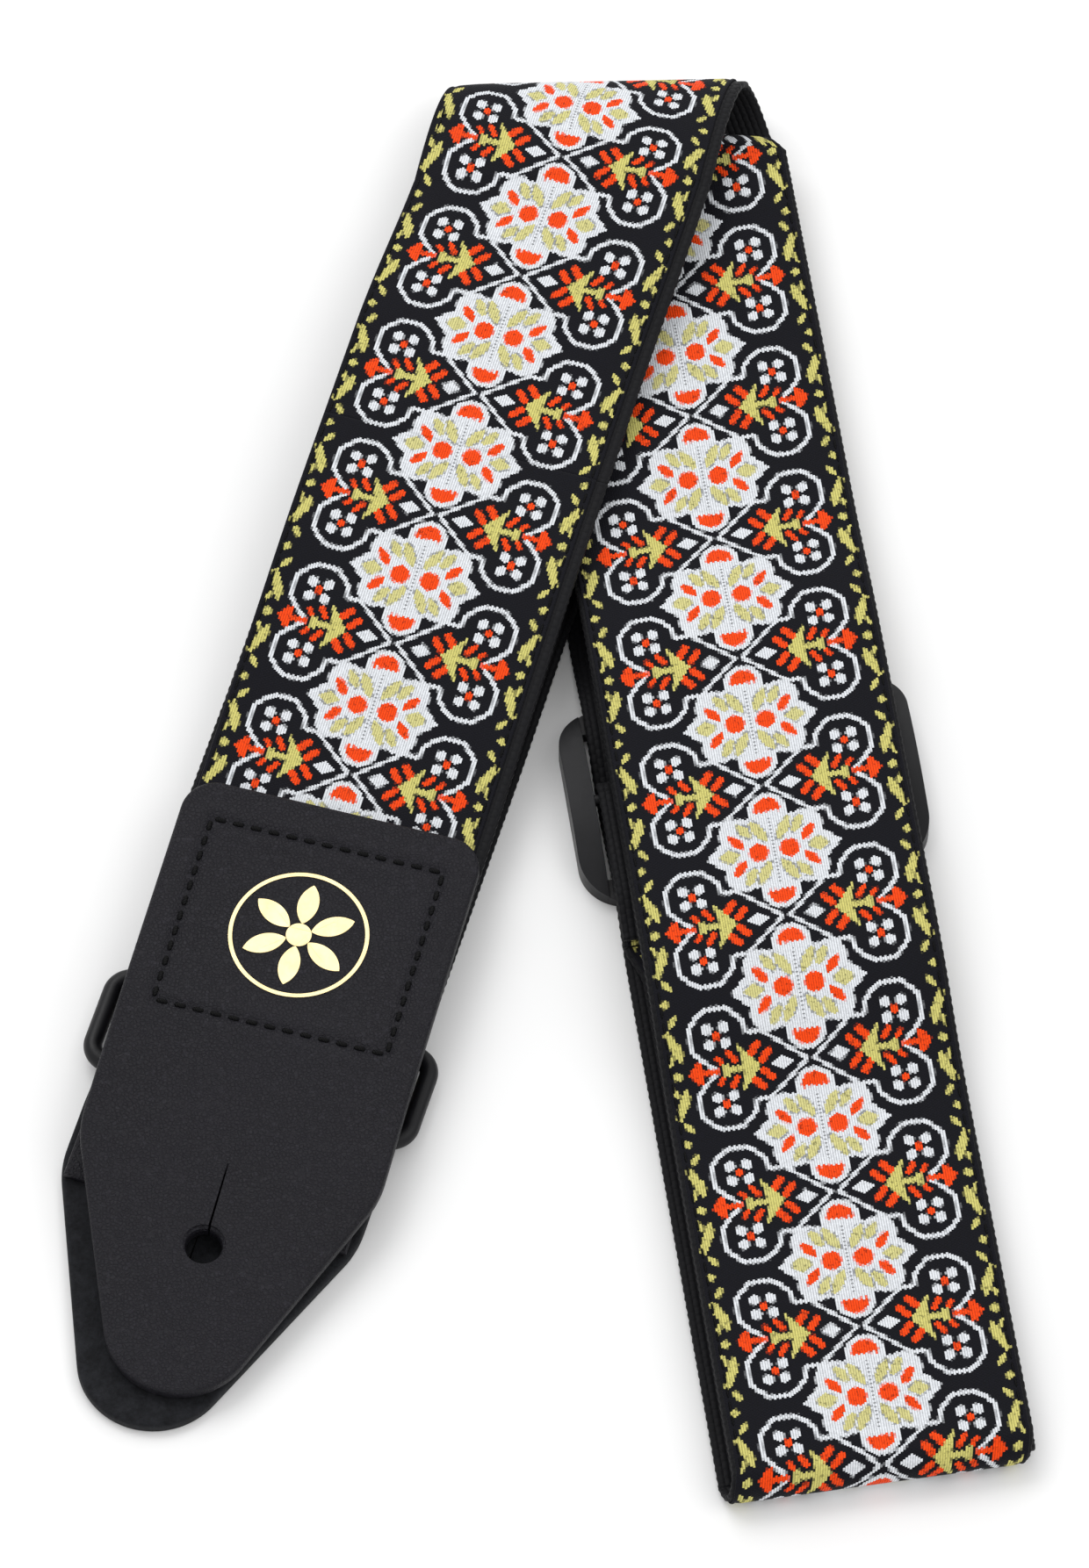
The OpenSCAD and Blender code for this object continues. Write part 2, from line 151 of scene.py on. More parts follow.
def arch_rise(t):
    """How much higher the outer arch is at t: it grows to the right and droops on the left."""
    return CONE * t - EDGE_DROOP * np.maximum(0, (-t - DROOP_FROM) / DROOP_OVER) ** 2


# ---- places, from the frame


class Leg:
    """A straight run: s goes down it, t goes across it to the right."""

    def __init__(self, point, s, down):
        self.down = np.array([down[0], down[1], 0.0]) / math.hypot(down[0], down[1])
        self.across = np.array([-self.down[1], self.down[0], 0.0])
        self.origin = np.array([point[0], point[1], 0.0]) / MM - s * self.down

    def at(self, s, t, z=0.0):
        s, t, z = np.broadcast_arrays(np.asarray(s, float), t, z)
        return self.origin + s[..., None] * self.down + t[..., None] * self.across + z[..., None] * UP


def leg_from_hinge(name, s):
    """The leg that a hinge crosses at s, whose axis points to the leg's left."""
    x, y = JOINTS[name]["axis"][:2]
    return Leg(JOINTS[name]["pos_m"], s, (-y, x))


class Crease:
    """A horizontal fold line: c runs along it to the right, n points away from the legs."""

    def __init__(self, point, along, away=None):
        self.point = point
        self.c = np.array([along[0], along[1], 0.0])
        self.n = np.array([-self.c[1], self.c[0], 0.0]) if away is None else away

    def crossing(self, leg):
        """(place along the crease, s on the leg) where the leg's centre line meets it."""
        gap = self.point - leg.origin
        s = (gap @ self.n) / (leg.down @ self.n)
        return (leg.at(s, 0.0) - self.point) @ self.c, s

    def shear(self, leg):
        """How far s moves per unit of t along the crease."""
        return (self.c @ leg.down) / (self.c @ leg.across)


def top_crease(out):
    """The hinge line of the top fold, moved out by a distance."""
    joint = JOINTS["top_fold_open"]
    hinge = np.array([joint["pos_m"][0], joint["pos_m"][1], 0.0]) / MM
    crease = Crease(hinge, (-joint["axis"][0], -joint["axis"][1]))
    crease.point = hinge + out * crease.n
    return crease


left = leg_from_hinge("front_end_bend", BEND_S)
back = leg_from_hinge("loop_swing", BIGHT_S)
slider_low, slider_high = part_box("slider_frame")
lower = Leg((slider_low + slider_high) / 2, SLIDER_S, JOINTS["slider_slide"]["axis"])
right = Leg((0, 0), 0, JOINTS["slider_slide"]["axis"])
right.origin = lower.origin + RIGHT_ASIDE * lower.across

outer_crease = top_crease(TOP_OUT)
inner_crease = top_crease(-INNER_BACK)
bottom_crease = Crease(right.at(RIGHT_END, 0.0), right.across, right.down)

# ---- stations along the strap
# A station is a function of t that gives points on the layer's inner side, its outward
# normals and the woven pattern's own distance along the strap.


def unmoved(*place):
    return 0.0


def run_surface(leg, profile, s, t, sideways, lift):
    """Points, normals and slopes of a run's underside. sideways(s) moves the run across and
    lift(s, t) raises it."""
    nudge = 0.1
    z, slope = profile(s)
    z = z + lift(s, t)
    slope = slope + (lift(s + nudge, t) - lift(s - nudge, t)) / (2 * nudge)
    normal = UP - slope[..., None] * leg.down
    normal /= np.linalg.norm(normal, axis=-1, keepdims=True)
    return leg.at(s, t + sideways(s), z), normal, slope


def run_stations(leg, profile, s_from, s_to, face, creases=(), skew=(0.0, 0.0),
                 sideways=unmoved, lift=unmoved):
    """face is 1 with the pattern up and -1 with it down; creases are (crease, s) at the ends."""
    count = max(2, int(round(abs(s_to - s_from) / STEP)) + 1)
    stations = []
    for s0 in np.linspace(s_from, s_to, count):
        shear = 0.0
        for crease, s_end in creases:
            shear += crease.shear(leg) * eased(1 - abs(s0 - s_end) / EASE_OVER)

        def station(t, s0=s0, shear=shear):
            s = s0 + shear * t
            base, normal, _ = run_surface(leg, profile, s, t, sideways, lift)
            if face < 0:
                base = base + LAYER_T * UP
            skewed = s - PATTERN_START + np.interp(s, SKEW_SPAN, skew) * t
            return base, face * normal, skewed

        stations.append(station)
    return stations


def arch_length(turn, stretch):
    """Length of a half turn of radius 1 as far as turn, with its upper half stretched."""
    a = np.linspace(0, min(turn, math.pi / 2), 40)
    speed = np.hypot(np.cos(a) * stretch, np.sin(a))
    upper = float(np.sum((speed[1:] + speed[:-1]) / 2 * np.diff(a)))
    return upper + max(0.0, turn - math.pi / 2)


def fold_stations(crease, leg_in, leg_out, r_out, z, steps, inner=False, v_sign=-1,
                  shift_in=0.0, shift_out=0.0, cone=False, reach=None):
    """Half turn from the top layer, on leg_in, to the bottom layer, on leg_out. cone makes
    the turn wider to the right. reach draws the upper half out into an arch."""
    x_in, s_in = crease.crossing(leg_in)
    x_out, _ = crease.crossing(leg_out)
    widen = 1 / abs(crease.c @ leg_in.across)
    shear = crease.shear(leg_in)
    radius = r_out if inner else r_out - LAYER_T
    stretch = (reach or r_out) / r_out
    further = (stretch - 1) * r_out
    s_in = s_in + further * widen
    x_in = x_in + shift_in + further * (leg_in.down @ crease.c) * widen
    x_out = x_out + shift_out
    stations = []
    for turn in np.linspace(0, math.pi, steps):

        def station(t, turn=turn):
            radial = math.cos(turn) * UP + math.sin(turn) * crease.n
            offset = radius * radial
            if turn < math.pi / 2 and stretch > 1:
                away = (stretch * r_out - LAYER_T) * math.sin(turn) - further
                offset = radius * math.cos(turn) * UP + away * crease.n
                radial = math.cos(turn) * UP + math.sin(turn) / stretch * crease.n
                radial = radial / np.linalg.norm(radial)
            x = x_in + (x_out - x_in) * turn / math.pi + t * widen
            grown = arch_rise(x - x_in)[:, None] if cone else np.zeros((len(t), 1))
            base = crease.point + x[:, None] * crease.c + (z + grown) * UP
            base = base + offset + grown * radial
            normal = np.broadcast_to(-radial if inner else radial, base.shape)
            turn_length = arch_length(turn, stretch) * (r_out - RIBBON_T / 2 + grown[:, 0]) * widen
            return base, normal, s_in - PATTERN_START + t * shear + v_sign * turn_length

        stations.append(station)
    return stations


def wrap_stations(leg, s, z, r_in, side, steps):
    """Half ring round a bar: side is 1 beyond the bar and -1 before it; from below to above."""
    stations = []
    for turn in np.linspace(-math.pi / 2, math.pi / 2, steps):

        def station(t, turn=turn):
            radial = math.sin(turn) * UP + side * math.cos(turn) * leg.down
            base = leg.at(s, t, z) + r_in * radial
            v = np.full_like(t, s + r_in * (turn + math.pi / 2))
            return base, np.broadcast_to(radial, base.shape), v

        stations.append(station)
    return stations


def turned_over(stations, thickness):
    """The same band with its outer side on the other side of the layer."""

    def other(station):
        def over(t):
            base, normal, v = station(t)
            return base + thickness * normal, -normal, v

        return over

    return [other(station) for station in stations]


# ---- meshes


def new_object(name, points, faces, smooth=True):
    mesh = bpy.data.meshes.new(name)
    mesh.from_pydata((np.asarray(points) * MM).tolist(), [], faces)
    mesh.validate()
    if smooth:
        mesh.shade_smooth()
    obj = bpy.data.objects.new(name, mesh)
    bpy.context.scene.collection.objects.link(obj)
    return obj


def face_outwards(obj):
    bm = bmesh.new()
    bm.from_mesh(obj.data)
    bmesh.ops.recalc_face_normals(bm, faces=bm.faces)
    bm.to_mesh(obj.data)
    bm.free()


def set_uv(obj, uv):
    """The woven coordinates, in mm, on a UV map of their own."""
    layer = obj.data.uv_layers.new(name="weave")
    loops = np.zeros(len(obj.data.loops), np.int32)
    obj.data.loops.foreach_get("vertex_index", loops)
    layer.data.foreach_set("uv", np.asarray(uv)[loops].astype(np.float32).ravel())


def tube_faces(rings, sides):
    """Faces of a tube of rings that have the same number of points, closed at both ends."""
    faces = []
    for i in range(rings - 1):
        for k in range(sides):
            a, b = i * sides + k, i * sides + (k + 1) % sides
            faces.append((a, b, b + sides, a + sides))
    faces.append(tuple(range(sides))[::-1])
    faces.append(tuple((rings - 1) * sides + k for k in range(sides)))
    return faces


def swept(name, stations, section, scallop=None):
    """A closed band: section is a list of (t, height) round the cross-section."""
    t = np.array([p[0] for p in section], float)
    h = np.array([p[1] for p in section], float)
    rings, uvs = [], []
    for i, station in enumerate(stations):
        base, normal, v = station(t if scallop is None else t * (1 + scallop(i, t)))
        rings.append(base + h[:, None] * normal)
        uvs.append(np.stack([t, v], -1))
    obj = new_object(name, np.concatenate(rings), tube_faces(len(rings), len(section)))
    set_uv(obj, np.concatenate(uvs))
    face_outwards(obj)
    return obj


def ribbon_section():
    """Jacquard ribbon: thin, with a dent where each edge seam pulls it down."""
    half = RIBBON_W / 2
    seam = half - SEAM_IN
    across = [-half, -half + 0.12, -half + 0.35]
    across += [-seam - 0.1, -seam + 0.35, -seam + 0.8, -seam + 1.8]
    across += list(np.linspace(-seam + 4, seam - 4, 17))
    across += [seam - 1.8, seam - 0.8, seam - 0.35, seam + 0.1, half - 0.35, half - 0.12, half]
    r, dent = 0.4, 0.2

    def top(t):
        share = max(0.0, 1 - (half - abs(t)) / r)
        rounded = RIBBON_T - 0.3 * (1 - math.sqrt(max(0.0, 1 - share**2)))
        return rounded - dent * math.exp(-((abs(t) - seam) / 0.4) ** 2)

    upper = [(t, WEBBING_T + top(t)) for t in across]
    lower_side = [(t, WEBBING_T) for t in reversed(across[::4])]
    return upper + [p for p in lower_side if abs(p[0]) < half - 0.01]


def webbing_section(offset):
    """Webbing with round edges. offset moves it to the right under the ribbon."""
    half, r = WEBBING_W / 2, WEBBING_T / 2
    section = []
    for side, start in ((1, -math.pi / 2), (-1, math.pi / 2)):
        for a in np.linspace(start, start + math.pi, 7):
            section.append((side * (half - r * 0.6) + 0.6 * r * math.cos(a), r + r * math.sin(a)))
        fill = np.linspace(side * (half - 2), -side * (half - 2), 7)
        section += [(t, WEBBING_T if side > 0 else 0.0) for t in fill]
    return [(t * (1 + WEB_WIDER * offset) + offset, h) for t, h in section]


def selvedge(i, t):
    """Loops of the webbing's edge threads, as a share of the half width."""
    pitch, depth, reach = 1.6, 0.0062, 0.8
    wave = 0.5 + 0.5 * math.cos(2 * math.pi * i * STEP / pitch)
    return np.where(np.abs(t) > WEBBING_W / 2 - reach, -depth * (1 - wave), 0.0)


def stitches(name, places, stitch_l, radius):
    """Rounded stitches: places are (centre, direction, normal) in mm."""
    rings, sides = 7, 8
    base = []
    for i in range(rings):
        u = -1 + 2 * i / (rings - 1)
        r = radius * (1 - abs(u) ** 3.2) ** 0.5 if abs(u) < 1 else 0.05 * radius
        dip = -0.55 * radius * abs(u) ** 3
        for k in range(sides):
            a = 2 * math.pi * k / sides
            base.append((u * stitch_l / 2, r * math.cos(a), r * math.sin(a) + dip))
    base = np.array(base)
    one = tube_faces(rings, sides)
    points, faces = [], []
    for centre, direction, normal in places:
        along = direction / np.linalg.norm(direction)
        start = len(points) * len(base)
        points.append(centre + base @ np.stack([along, np.cross(normal, along), normal], 0))
        faces += [tuple(v + start for v in f) for f in one]
    obj = new_object(name, np.concatenate(points), faces)
    set_uv(obj, np.tile(base[:, :2], (len(points), 1)))
    face_outwards(obj)
    return obj


def seam_places(leg, profile, s_from, s_to, sideways=unmoved, lift=unmoved):
    """Places of the stitches along both edges of the ribbon."""
    pitch, sunk = 2.6, 0.12
    count = int((s_to - s_from) / pitch)
    places = []
    for t in (SEAM_IN - RIBBON_W / 2, RIBBON_W / 2 - SEAM_IN):
        for i in range(count):
            s = np.float64(s_from + (i + 0.5) * (s_to - s_from) / count)
            base, normal, slope = run_surface(leg, profile, s, t, sideways, lift)
            places.append((base + normal * (LAYER_T - sunk), leg.down + slope * UP, normal))
    return places


# ---- node expressions


class Value:
    """A number in a shader, so that a pattern can be written as plain arithmetic."""

    def __init__(self, tree, socket):
        self.tree, self.socket = tree, socket

    def op(self, kind, *others):
        node = self.tree.nodes.new("ShaderNodeMath")
        node.operation = kind
        for i, x in enumerate((self, *others)):
            if isinstance(x, Value):
                self.tree.links.new(x.socket, node.inputs[i])
            else:
                node.inputs[i].default_value = x
        return Value(self.tree, node.outputs[0])

    def __add__(self, o):
        return self.op("ADD", o)

    __radd__ = __add__

    def __sub__(self, o):
        return self.op("SUBTRACT", o)

    def __rsub__(self, o):
        return (self * -1.0) + o

    def __mul__(self, o):
        return self.op("MULTIPLY", o)

    __rmul__ = __mul__

    def __truediv__(self, o):
        return self.op("DIVIDE", o)

    def __abs__(self):
        return self.op("ABSOLUTE")


def lowest(first, *others):
    for value in others:
        first = first.op("MINIMUM", value)
    return first


def highest(first, *others):
    for value in others:
        first = first.op("MAXIMUM", value)
    return first


def clamped(value, top=1.0):
    return value.op("MAXIMUM", 0.0).op("MINIMUM", top)


def inside(distance, edge):
    """1 inside a shape and 0 outside it, over a soft edge."""
    return clamped(0.5 - distance / edge)


def from_middle(value):
    """0 at the middle of each whole step of value and 1 at the step's ends."""
    return abs(value.op("FRACT") - 0.5) * 2.0


def length(x, y):
    return (x * x + y * y).op("SQRT")


def disc(x, y, cx, cy, r):
    return length(x - cx, y - cy) - r


def diamond(x, y, cx, cy, rx, ry):
    return (abs(x - cx) / rx + abs(y - cy) / ry - 1.0) * min(rx, ry)


def nearest(x, y, a, b):
    """The nearest point of a line from a to b, as a share of it, and the distance to it."""
    dx, dy = b[0] - a[0], b[1] - a[1]
    px, py = x - a[0], y - a[1]
    share = clamped((px * dx + py * dy) / (dx * dx + dy * dy))
    return share, length(px - share * dx, py - share * dy)


def stroke(x, y, a, b, r):
    """Distance to a round-ended line from a to b."""
    return nearest(x, y, a, b)[1] - r


def leaf(x, y, a, b, r):
    """Like a stroke, but with tapering ends."""
    share, distance = nearest(x, y, a, b)
    end = share * 2.0 - 1.0
    return distance - (1.0 - end * end * 0.5) * r


class Look:
    """A procedural material, with short ways to make its nodes."""

    def __init__(self, name):
        self.material = bpy.data.materials.new(name)
        self.material.use_nodes = True
        self.tree = self.material.node_tree
        self.shader = self.tree.nodes["Principled BSDF"]
        self.place = self.node("TexCoord").outputs["Object"]

    def node(self, kind):
        return self.tree.nodes.new("ShaderNode" + kind)

    def value(self, socket):
        return Value(self.tree, socket)

    def link(self, source, socket):
        self.tree.links.new(source, socket)

    def mix(self, factor, a, b):
        """Colour a, with b over it where factor is 1."""
        node = self.node("Mix")
        node.data_type = "RGBA"
        self.link(factor.socket, node.inputs[0])
        for socket, x in ((node.inputs[6], a), (node.inputs[7], b)):
            if isinstance(x, bpy.types.NodeSocket):
                self.link(x, socket)
            else:
                socket.default_value = (*x, 1.0)
        return node.outputs[2]

    def tinted(self, colour, factor):
        """A colour made lighter or darker by a factor."""
        node = self.node("VectorMath")
        node.operation = "SCALE"
        node.inputs[0].default_value = colour
        self.link(factor.socket, node.inputs["Scale"])
        return node.outputs[0]

    def noise(self, scale, detail, rough=0.55):
        node = self.node("TexNoise")
        node.inputs["Scale"].default_value = scale
        node.inputs["Detail"].default_value = detail
        node.inputs["Roughness"].default_value = rough
        self.link(self.place, node.inputs["Vector"])
        return self.value(node.outputs["Fac"])

    def weave_uv(self):
        uv = self.node("UVMap")
        uv.uv_map = "weave"
        split = self.node("SeparateXYZ")
        self.link(uv.outputs["UV"], split.inputs[0])
        return self.value(split.outputs[0]), self.value(split.outputs[1])

    def bump(self, height, distance, strength):
        node = self.node("Bump")
        node.inputs["Distance"].default_value = distance
        node.inputs["Strength"].default_value = strength
        self.link(height.socket, node.inputs["Height"])
        self.link(node.outputs[0], self.shader.inputs["Normal"])

    def finish(self, colour, rough, specular=0.5, sheen=0.0, sheen_rough=0.5):
        """Colour and roughness, which vary, and gloss and sheen, which are the same all over."""
        self.link(colour, self.shader.inputs["Base Color"])
        self.link(rough.socket, self.shader.inputs["Roughness"])
        self.shader.inputs["Specular IOR Level"].default_value = specular
        self.shader.inputs["Sheen Weight"].default_value = sheen
        self.shader.inputs["Sheen Roughness"].default_value = sheen_rough
        return self.material


# ---- the woven pattern
# x runs out from the middle of the ribbon, y along it from the middle of a medallion and q
# along it from the crossing between two medallions, in mm.

WHITE = (0.70, 0.725, 0.76)
ORANGE = (0.88, 0.060, 0.0015)
OLIVE = (0.60, 0.555, 0.165)
GROUND = (0.0042, 0.0043, 0.0070)
CORE = 0.5 * REPEAT
THREAD_W, ROW_L, EDGE = 0.42, 0.5, 0.16


def medallion_white(x, y):
    lobe = disc(x, y, 0.0, 7.7, 3.45)
    shoulder = disc(x, y, 5.9, 3.95, 3.15)
    body = highest(x - 6.0, y - 6.75)
    tip = highest(x + y * 1.05 - 11.75, y - 2.5)
    return lowest(lobe, shoulder, body, tip)


def lattice_white(x, q):
    ring_x, ring_y = abs(x - 15.1), abs(q - 5.95)
    eight_sided = highest(ring_x, ring_y, (ring_x + ring_y) * 0.7071)
    ring = abs(length(ring_x, ring_y) * 0.45 + eight_sided * 0.57 - 4.92) - 0.4
    ring = highest(ring, lowest(5.95 - q, 18.2 - x))
    lines = lowest(
        stroke(x, q, (0.55, 0.0), (7.7, 6.05), 0.32),
        stroke(x, q, (7.7, 6.05), (9.9, 6.0), 0.38),
        stroke(x, q, (18.4, 2.3), (16.1, 0.3), 0.36))
    petals = disc(abs(x - 15.3), abs(q - 6.1), 1.4, 1.35, 0.96)
    return lowest(ring, lines, petals, diamond(x, q, 4.85, 0.0, 1.95, 1.3))


def orange_parts(x, y, q):
    teeth = (x * 1.15).op("PINGPONG", 0.55) * 0.9
    half_flower = highest(disc(x, y, 0.0, 7.9, 2.35), 7.35 + teeth - y)
    centre = disc(x, y, 2.7, 0.0, 1.72)
    petal = leaf(x, y, (5.35, 1.5), (7.1, 3.6), 0.86)
    strokes = lowest(
        stroke(x, q, (8.75, 3.75), (10.15, 2.1), 0.66),
        stroke(x, q, (6.9, 2.4), (8.2, 0.95), 0.62),
        stroke(x, q, (12.8, 1.6), (13.8, 3.0), 0.5),
        stroke(x, q, (15.1, 1.45), (15.75, 2.25), 0.44))
    stem = highest(15.7 - x, x - 19.0, q - 0.5)
    head = highest(18.6 - x, x - 20.9 + q * 0.75, q - 1.95)
    flower = disc(x, q, 15.3, 6.1, 0.74)
    return lowest(half_flower, centre, petal, strokes, stem, head, flower)


def olive_parts(x, y, q):
    leaves = lowest(
        leaf(x, y, (6.7, 0.0), (8.8, 0.0), 1.35),
        leaf(x, y, (1.2, 2.4), (3.15, 5.7), 0.93),
        leaf(x, y, (3.9, 3.35), (5.35, 5.6), 0.88))
    wings = highest(8.5 + q * 0.83 - x, x - 11.35 - q * 0.2, q - 4.35)
    stem = highest(11.0 - x, x - 14.9, q - 0.55)
    knob = highest(13.95 - x, x - 14.95, q - 1.1)
    border = lowest(
        disc(x, y, 23.15, 0.0, 0.72),
        disc(x, q, 22.75, 0.0, 0.76),
        leaf(x, y, (21.8, 2.3), (22.75, 3.8), 0.55),
        leaf(x, y, (23.45, 4.9), (21.8, 9.9), 0.74),
        stroke(x, y, (24.0, 5.0), (23.7, 6.6), 0.2),
        stroke(x, y, (21.6, 7.4), (21.4, 8.9), 0.2),
        leaf(x, y, (23.15, 9.0), (23.75, 10.6), 0.5))
    return lowest(leaves, wings, stem, knob, border)


class Weave:
    """The pattern's parts at a place snapped to the threads, and the threads' own tones."""

    def __init__(self, look):
        self.t, self.v = look.weave_uv()
        column = (self.t / THREAD_W).op("FLOOR")
        stagger = (column * 0.5).op("FRACT")
        row = self.v / ROW_L + stagger
        wobble = (look.noise(900.0, 1.0) - 0.5) * 0.25
        x = abs((column + 0.5) * THREAD_W)
        q = ((row.op("FLOOR") + 0.5 - stagger) * ROW_L + wobble + CORE).op("PINGPONG", CORE)
        self.y = CORE - q
        self.line = from_middle(self.t / THREAD_W)
        self.rib = from_middle(row)
        self.tone = look.noise(2500.0, 2.0)
        self.medallion = medallion_white(x, self.y)
        self.white = lowest(self.medallion, lattice_white(x, q))
        self.orange = orange_parts(x, self.y, q)
        self.olive = olive_parts(x, self.y, q)

    def figure(self, edge):
        """1 on any coloured part."""
        return highest(*(inside(part, edge) for part in (self.white, self.orange, self.olive)))


def jacquard_colour(look, weave):
    """The four threads' colours, painted shade on their sides and round the leaves, and a dotted
    middle line.
    """
    # shade paints each thread darker towards its sides, as painted shade on a round thread, and
    # varies it at random with the tone
    shade = 1.03 - weave.line * weave.line * 0.42 - (weave.tone - 0.5) * 0.6
    pinhole = clamped(look.noise(1700.0, 1.0) - 0.6, 0.1) * 5.0
    shaded_speckled = shade * (1.0 - pinhole)
    dots = inside(abs(abs(weave.t) - 0.12) - 0.1, 0.1) * inside(weave.y - 6.4, 0.3)
    dots = dots * inside(abs((weave.v / 0.72).op("FRACT") - 0.5) - 0.17, 0.1)
    # gap is a painted shadow: a dark ring on the white round the olive leaves, broken up by noise, as
    # the raised leaf threads would cast
    gap = inside(abs(weave.olive - 0.12) - 0.17, 0.14) * inside(weave.medallion + 0.4, 0.3)
    gap = gap * inside(0.5 - look.noise(1300.0, 1.0), 0.12)
    pale = inside(weave.medallion, 0.2) * 0.12
    ground = look.tinted(GROUND, 1.0 + (weave.tone - 0.5) * 1.2)
    white = look.tinted(WHITE, shade * (1.0 - dots * 0.75))
    olive = look.mix(pale, look.tinted(OLIVE, shaded_speckled), look.tinted(WHITE, shaded_speckled))
    colour = look.mix(inside(weave.white, EDGE), ground, white)
    colour = look.mix(inside(weave.orange, EDGE), colour, look.tinted(ORANGE, shaded_speckled))
    colour = look.mix(inside(weave.olive, EDGE), colour, olive)
    return look.mix(gap * 0.6, colour, GROUND)


def jacquard_material():
    look = Look("woven_jacquard")
    weave = Weave(look)
    figure = weave.figure(EDGE)
    line_height = (1.0 - weave.line * weave.line) * 0.35 * (0.35 + figure * 0.65)
    rib_height = (1.0 - weave.rib * weave.rib) * 0.22 * (1.0 - figure * 0.7)
    height = weave.figure(0.5) * 0.75 + line_height + rib_height + weave.tone * 0.12
    look.bump(height, 0.0002, 0.9)
    rough = 0.74 - figure * 0.2 + (weave.tone - 0.5) * 0.2
    return look.finish(jacquard_colour(look, weave), rough, 0.12, 0.02, 0.45)


# ---- the other materials


def webbing_material():
    look = Look("black_webbing")
    rib_w, pick_l = 1.15, 1.6
    t, v = look.weave_uv()
    across = from_middle(t / rib_w)
    stagger = ((t / rib_w).op("FLOOR") * 0.5).op("FRACT")
    along = from_middle(v / pick_l + stagger)
    fibre = look.noise(3000.0, 2.0)
    tone = look.noise(160.0, 2.0)
    height = (1.0 - across * across) * 0.6 + (1.0 - along * along) * 0.5 + fibre * 0.25
    look.bump(height, 0.00022, 0.9)
    # the weave is painted darker where ribs and picks meet, as painted shade in its hollows; tone and
    # fibre vary it at random
    level = 0.6 + (1.0 - across * along) * 0.35 + (tone - 0.5) * 0.5 + (fibre - 0.5) * 0.5
    colour = look.mix(level, (0.0015, 0.0015, 0.002), (0.0055, 0.0055, 0.0068))
    return look.finish(colour, 0.5 + fibre * 0.25, 0.14, 0.02)


def leather_material():
    look = Look("grain_leather")
    cells = look.node("TexVoronoi")
    cells.feature = "DISTANCE_TO_EDGE"
    cells.inputs["Scale"].default_value = 1500.0
    look.link(look.place, cells.inputs["Vector"])
    crack = look.value(cells.outputs["Distance"]).op("MINIMUM", 0.22) * 4.5
    pore = look.noise(2600.0, 4.0, 0.7)
    broad = look.noise(55.0, 3.0)
    fine = look.noise(700.0, 3.0)
    look.bump(crack * 0.5 + pore * 0.5 + fine * 0.5 + broad * 0.8, 0.00022, 1.0)
    speck = (look.noise(900.0, 1.0) - 0.64).op("MAXIMUM", 0.0) * 18.0
    level = 0.4 + (broad - 0.5) * 0.7 + (pore - 0.5) * 1.2 + speck
    colour = look.mix(level, (0.0052, 0.0048, 0.0072), (0.0132, 0.0124, 0.0170))
    return look.finish(colour, 0.5 + (pore - 0.5) * 0.35 + (broad - 0.5) * 0.2, 0.19)


def suede_material():
    """The leather's flesh side: matte, fibrous and darker."""
    look = Look("suede_leather")
    fibre = look.noise(1400.0, 5.0, 0.75)
    clumps = look.noise(330.0, 4.0, 0.6)
    look.bump(fibre * 0.7 + clumps, 0.00035, 0.9)
    level = (fibre - 0.5) * 1.6 + (clumps - 0.5) * 1.2 + 0.45
    colour = look.mix(level, (0.003, 0.0032, 0.004), (0.021, 0.022, 0.026))
    return look.finish(colour, 0.86 + (fibre - 0.5) * 0.2, 0.15, 0.04)


def plastic_material():
    look = Look("moulded_plastic")
    fine = look.noise(2200.0, 3.0)
    scuff = look.noise(240.0, 4.0, 0.7)
    look.bump(fine * 0.6 + scuff * 0.4, 0.00004, 0.7)
    level = 0.5 + (scuff - 0.5) * 1.2
    colour = look.mix(level, (0.0035, 0.0035, 0.0045), (0.008, 0.008, 0.0098))
    return look.finish(colour, 0.42 + (scuff - 0.5) * 0.35 + (fine - 0.5) * 0.15, 0.24)


def thread_material():
    look = Look("black_thread")
    along, side = look.weave_uv()
    twist = from_middle(along / 0.55 + side * 1.6)
    fibre = look.noise(4000.0, 2.0)
    look.bump((1.0 - twist * twist) + fibre * 0.3, 0.00009, 0.9)
    # each ply of the twist is painted lighter in its middle and darker in the grooves, as painted
    # shade; fibre varies it at random
    level = (1.0 - twist) * 0.6 + (fibre - 0.5) * 0.6
    colour = look.mix(level, (0.0006, 0.0006, 0.0008), (0.003, 0.003, 0.0035))
    return look.finish(colour, 0.42 + fibre * 0.25, 0.12)


def foil_material():
    look = Look("gold_foil")
    grain = look.noise(1500.0, 4.0, 0.7)
    patch = look.noise(260.0, 3.0)
    look.bump(grain, 0.00003, 0.6)
    look.shader.inputs["Metallic"].default_value = 0.55
    level = 0.5 + (patch - 0.5) * 1.4 + (grain - 0.5) * 0.8
    colour = look.mix(level, (0.78, 0.60, 0.26), (0.98, 0.82, 0.47))
    return look.finish(colour, 0.34 + (grain - 0.5) * 0.3)


JACQUARD = jacquard_material()
WEBBING = webbing_material()
LEATHER = leather_material()
SUEDE = suede_material()
PLASTIC = plastic_material()
THREAD = thread_material()
FOIL = foil_material()


# ---- finishing a piece


def paint(obj, material):
    obj.data.materials.clear()
    obj.data.materials.append(material)


def rides(body):
    return lambda obj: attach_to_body(obj, body)


def blends(a, b, start, end):
    return lambda obj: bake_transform(obj, a, b, start=tuple(start * MM), end=tuple(end * MM))


def blends_along(a, b, leg, s_start, s_end):
    return blends(a, b, leg.at(s_start, 0.0), leg.at(s_end, 0.0))


def finish_piece(obj, material, attach, replaced=()):
    """attach(obj) makes the piece ride a body or fixes it where it is; replaced are the CAD nodes it
    stands for.
    """
    paint(obj, material)
    attach(obj)
    if replaced:
        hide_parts(*replaced)


# ---- the strap

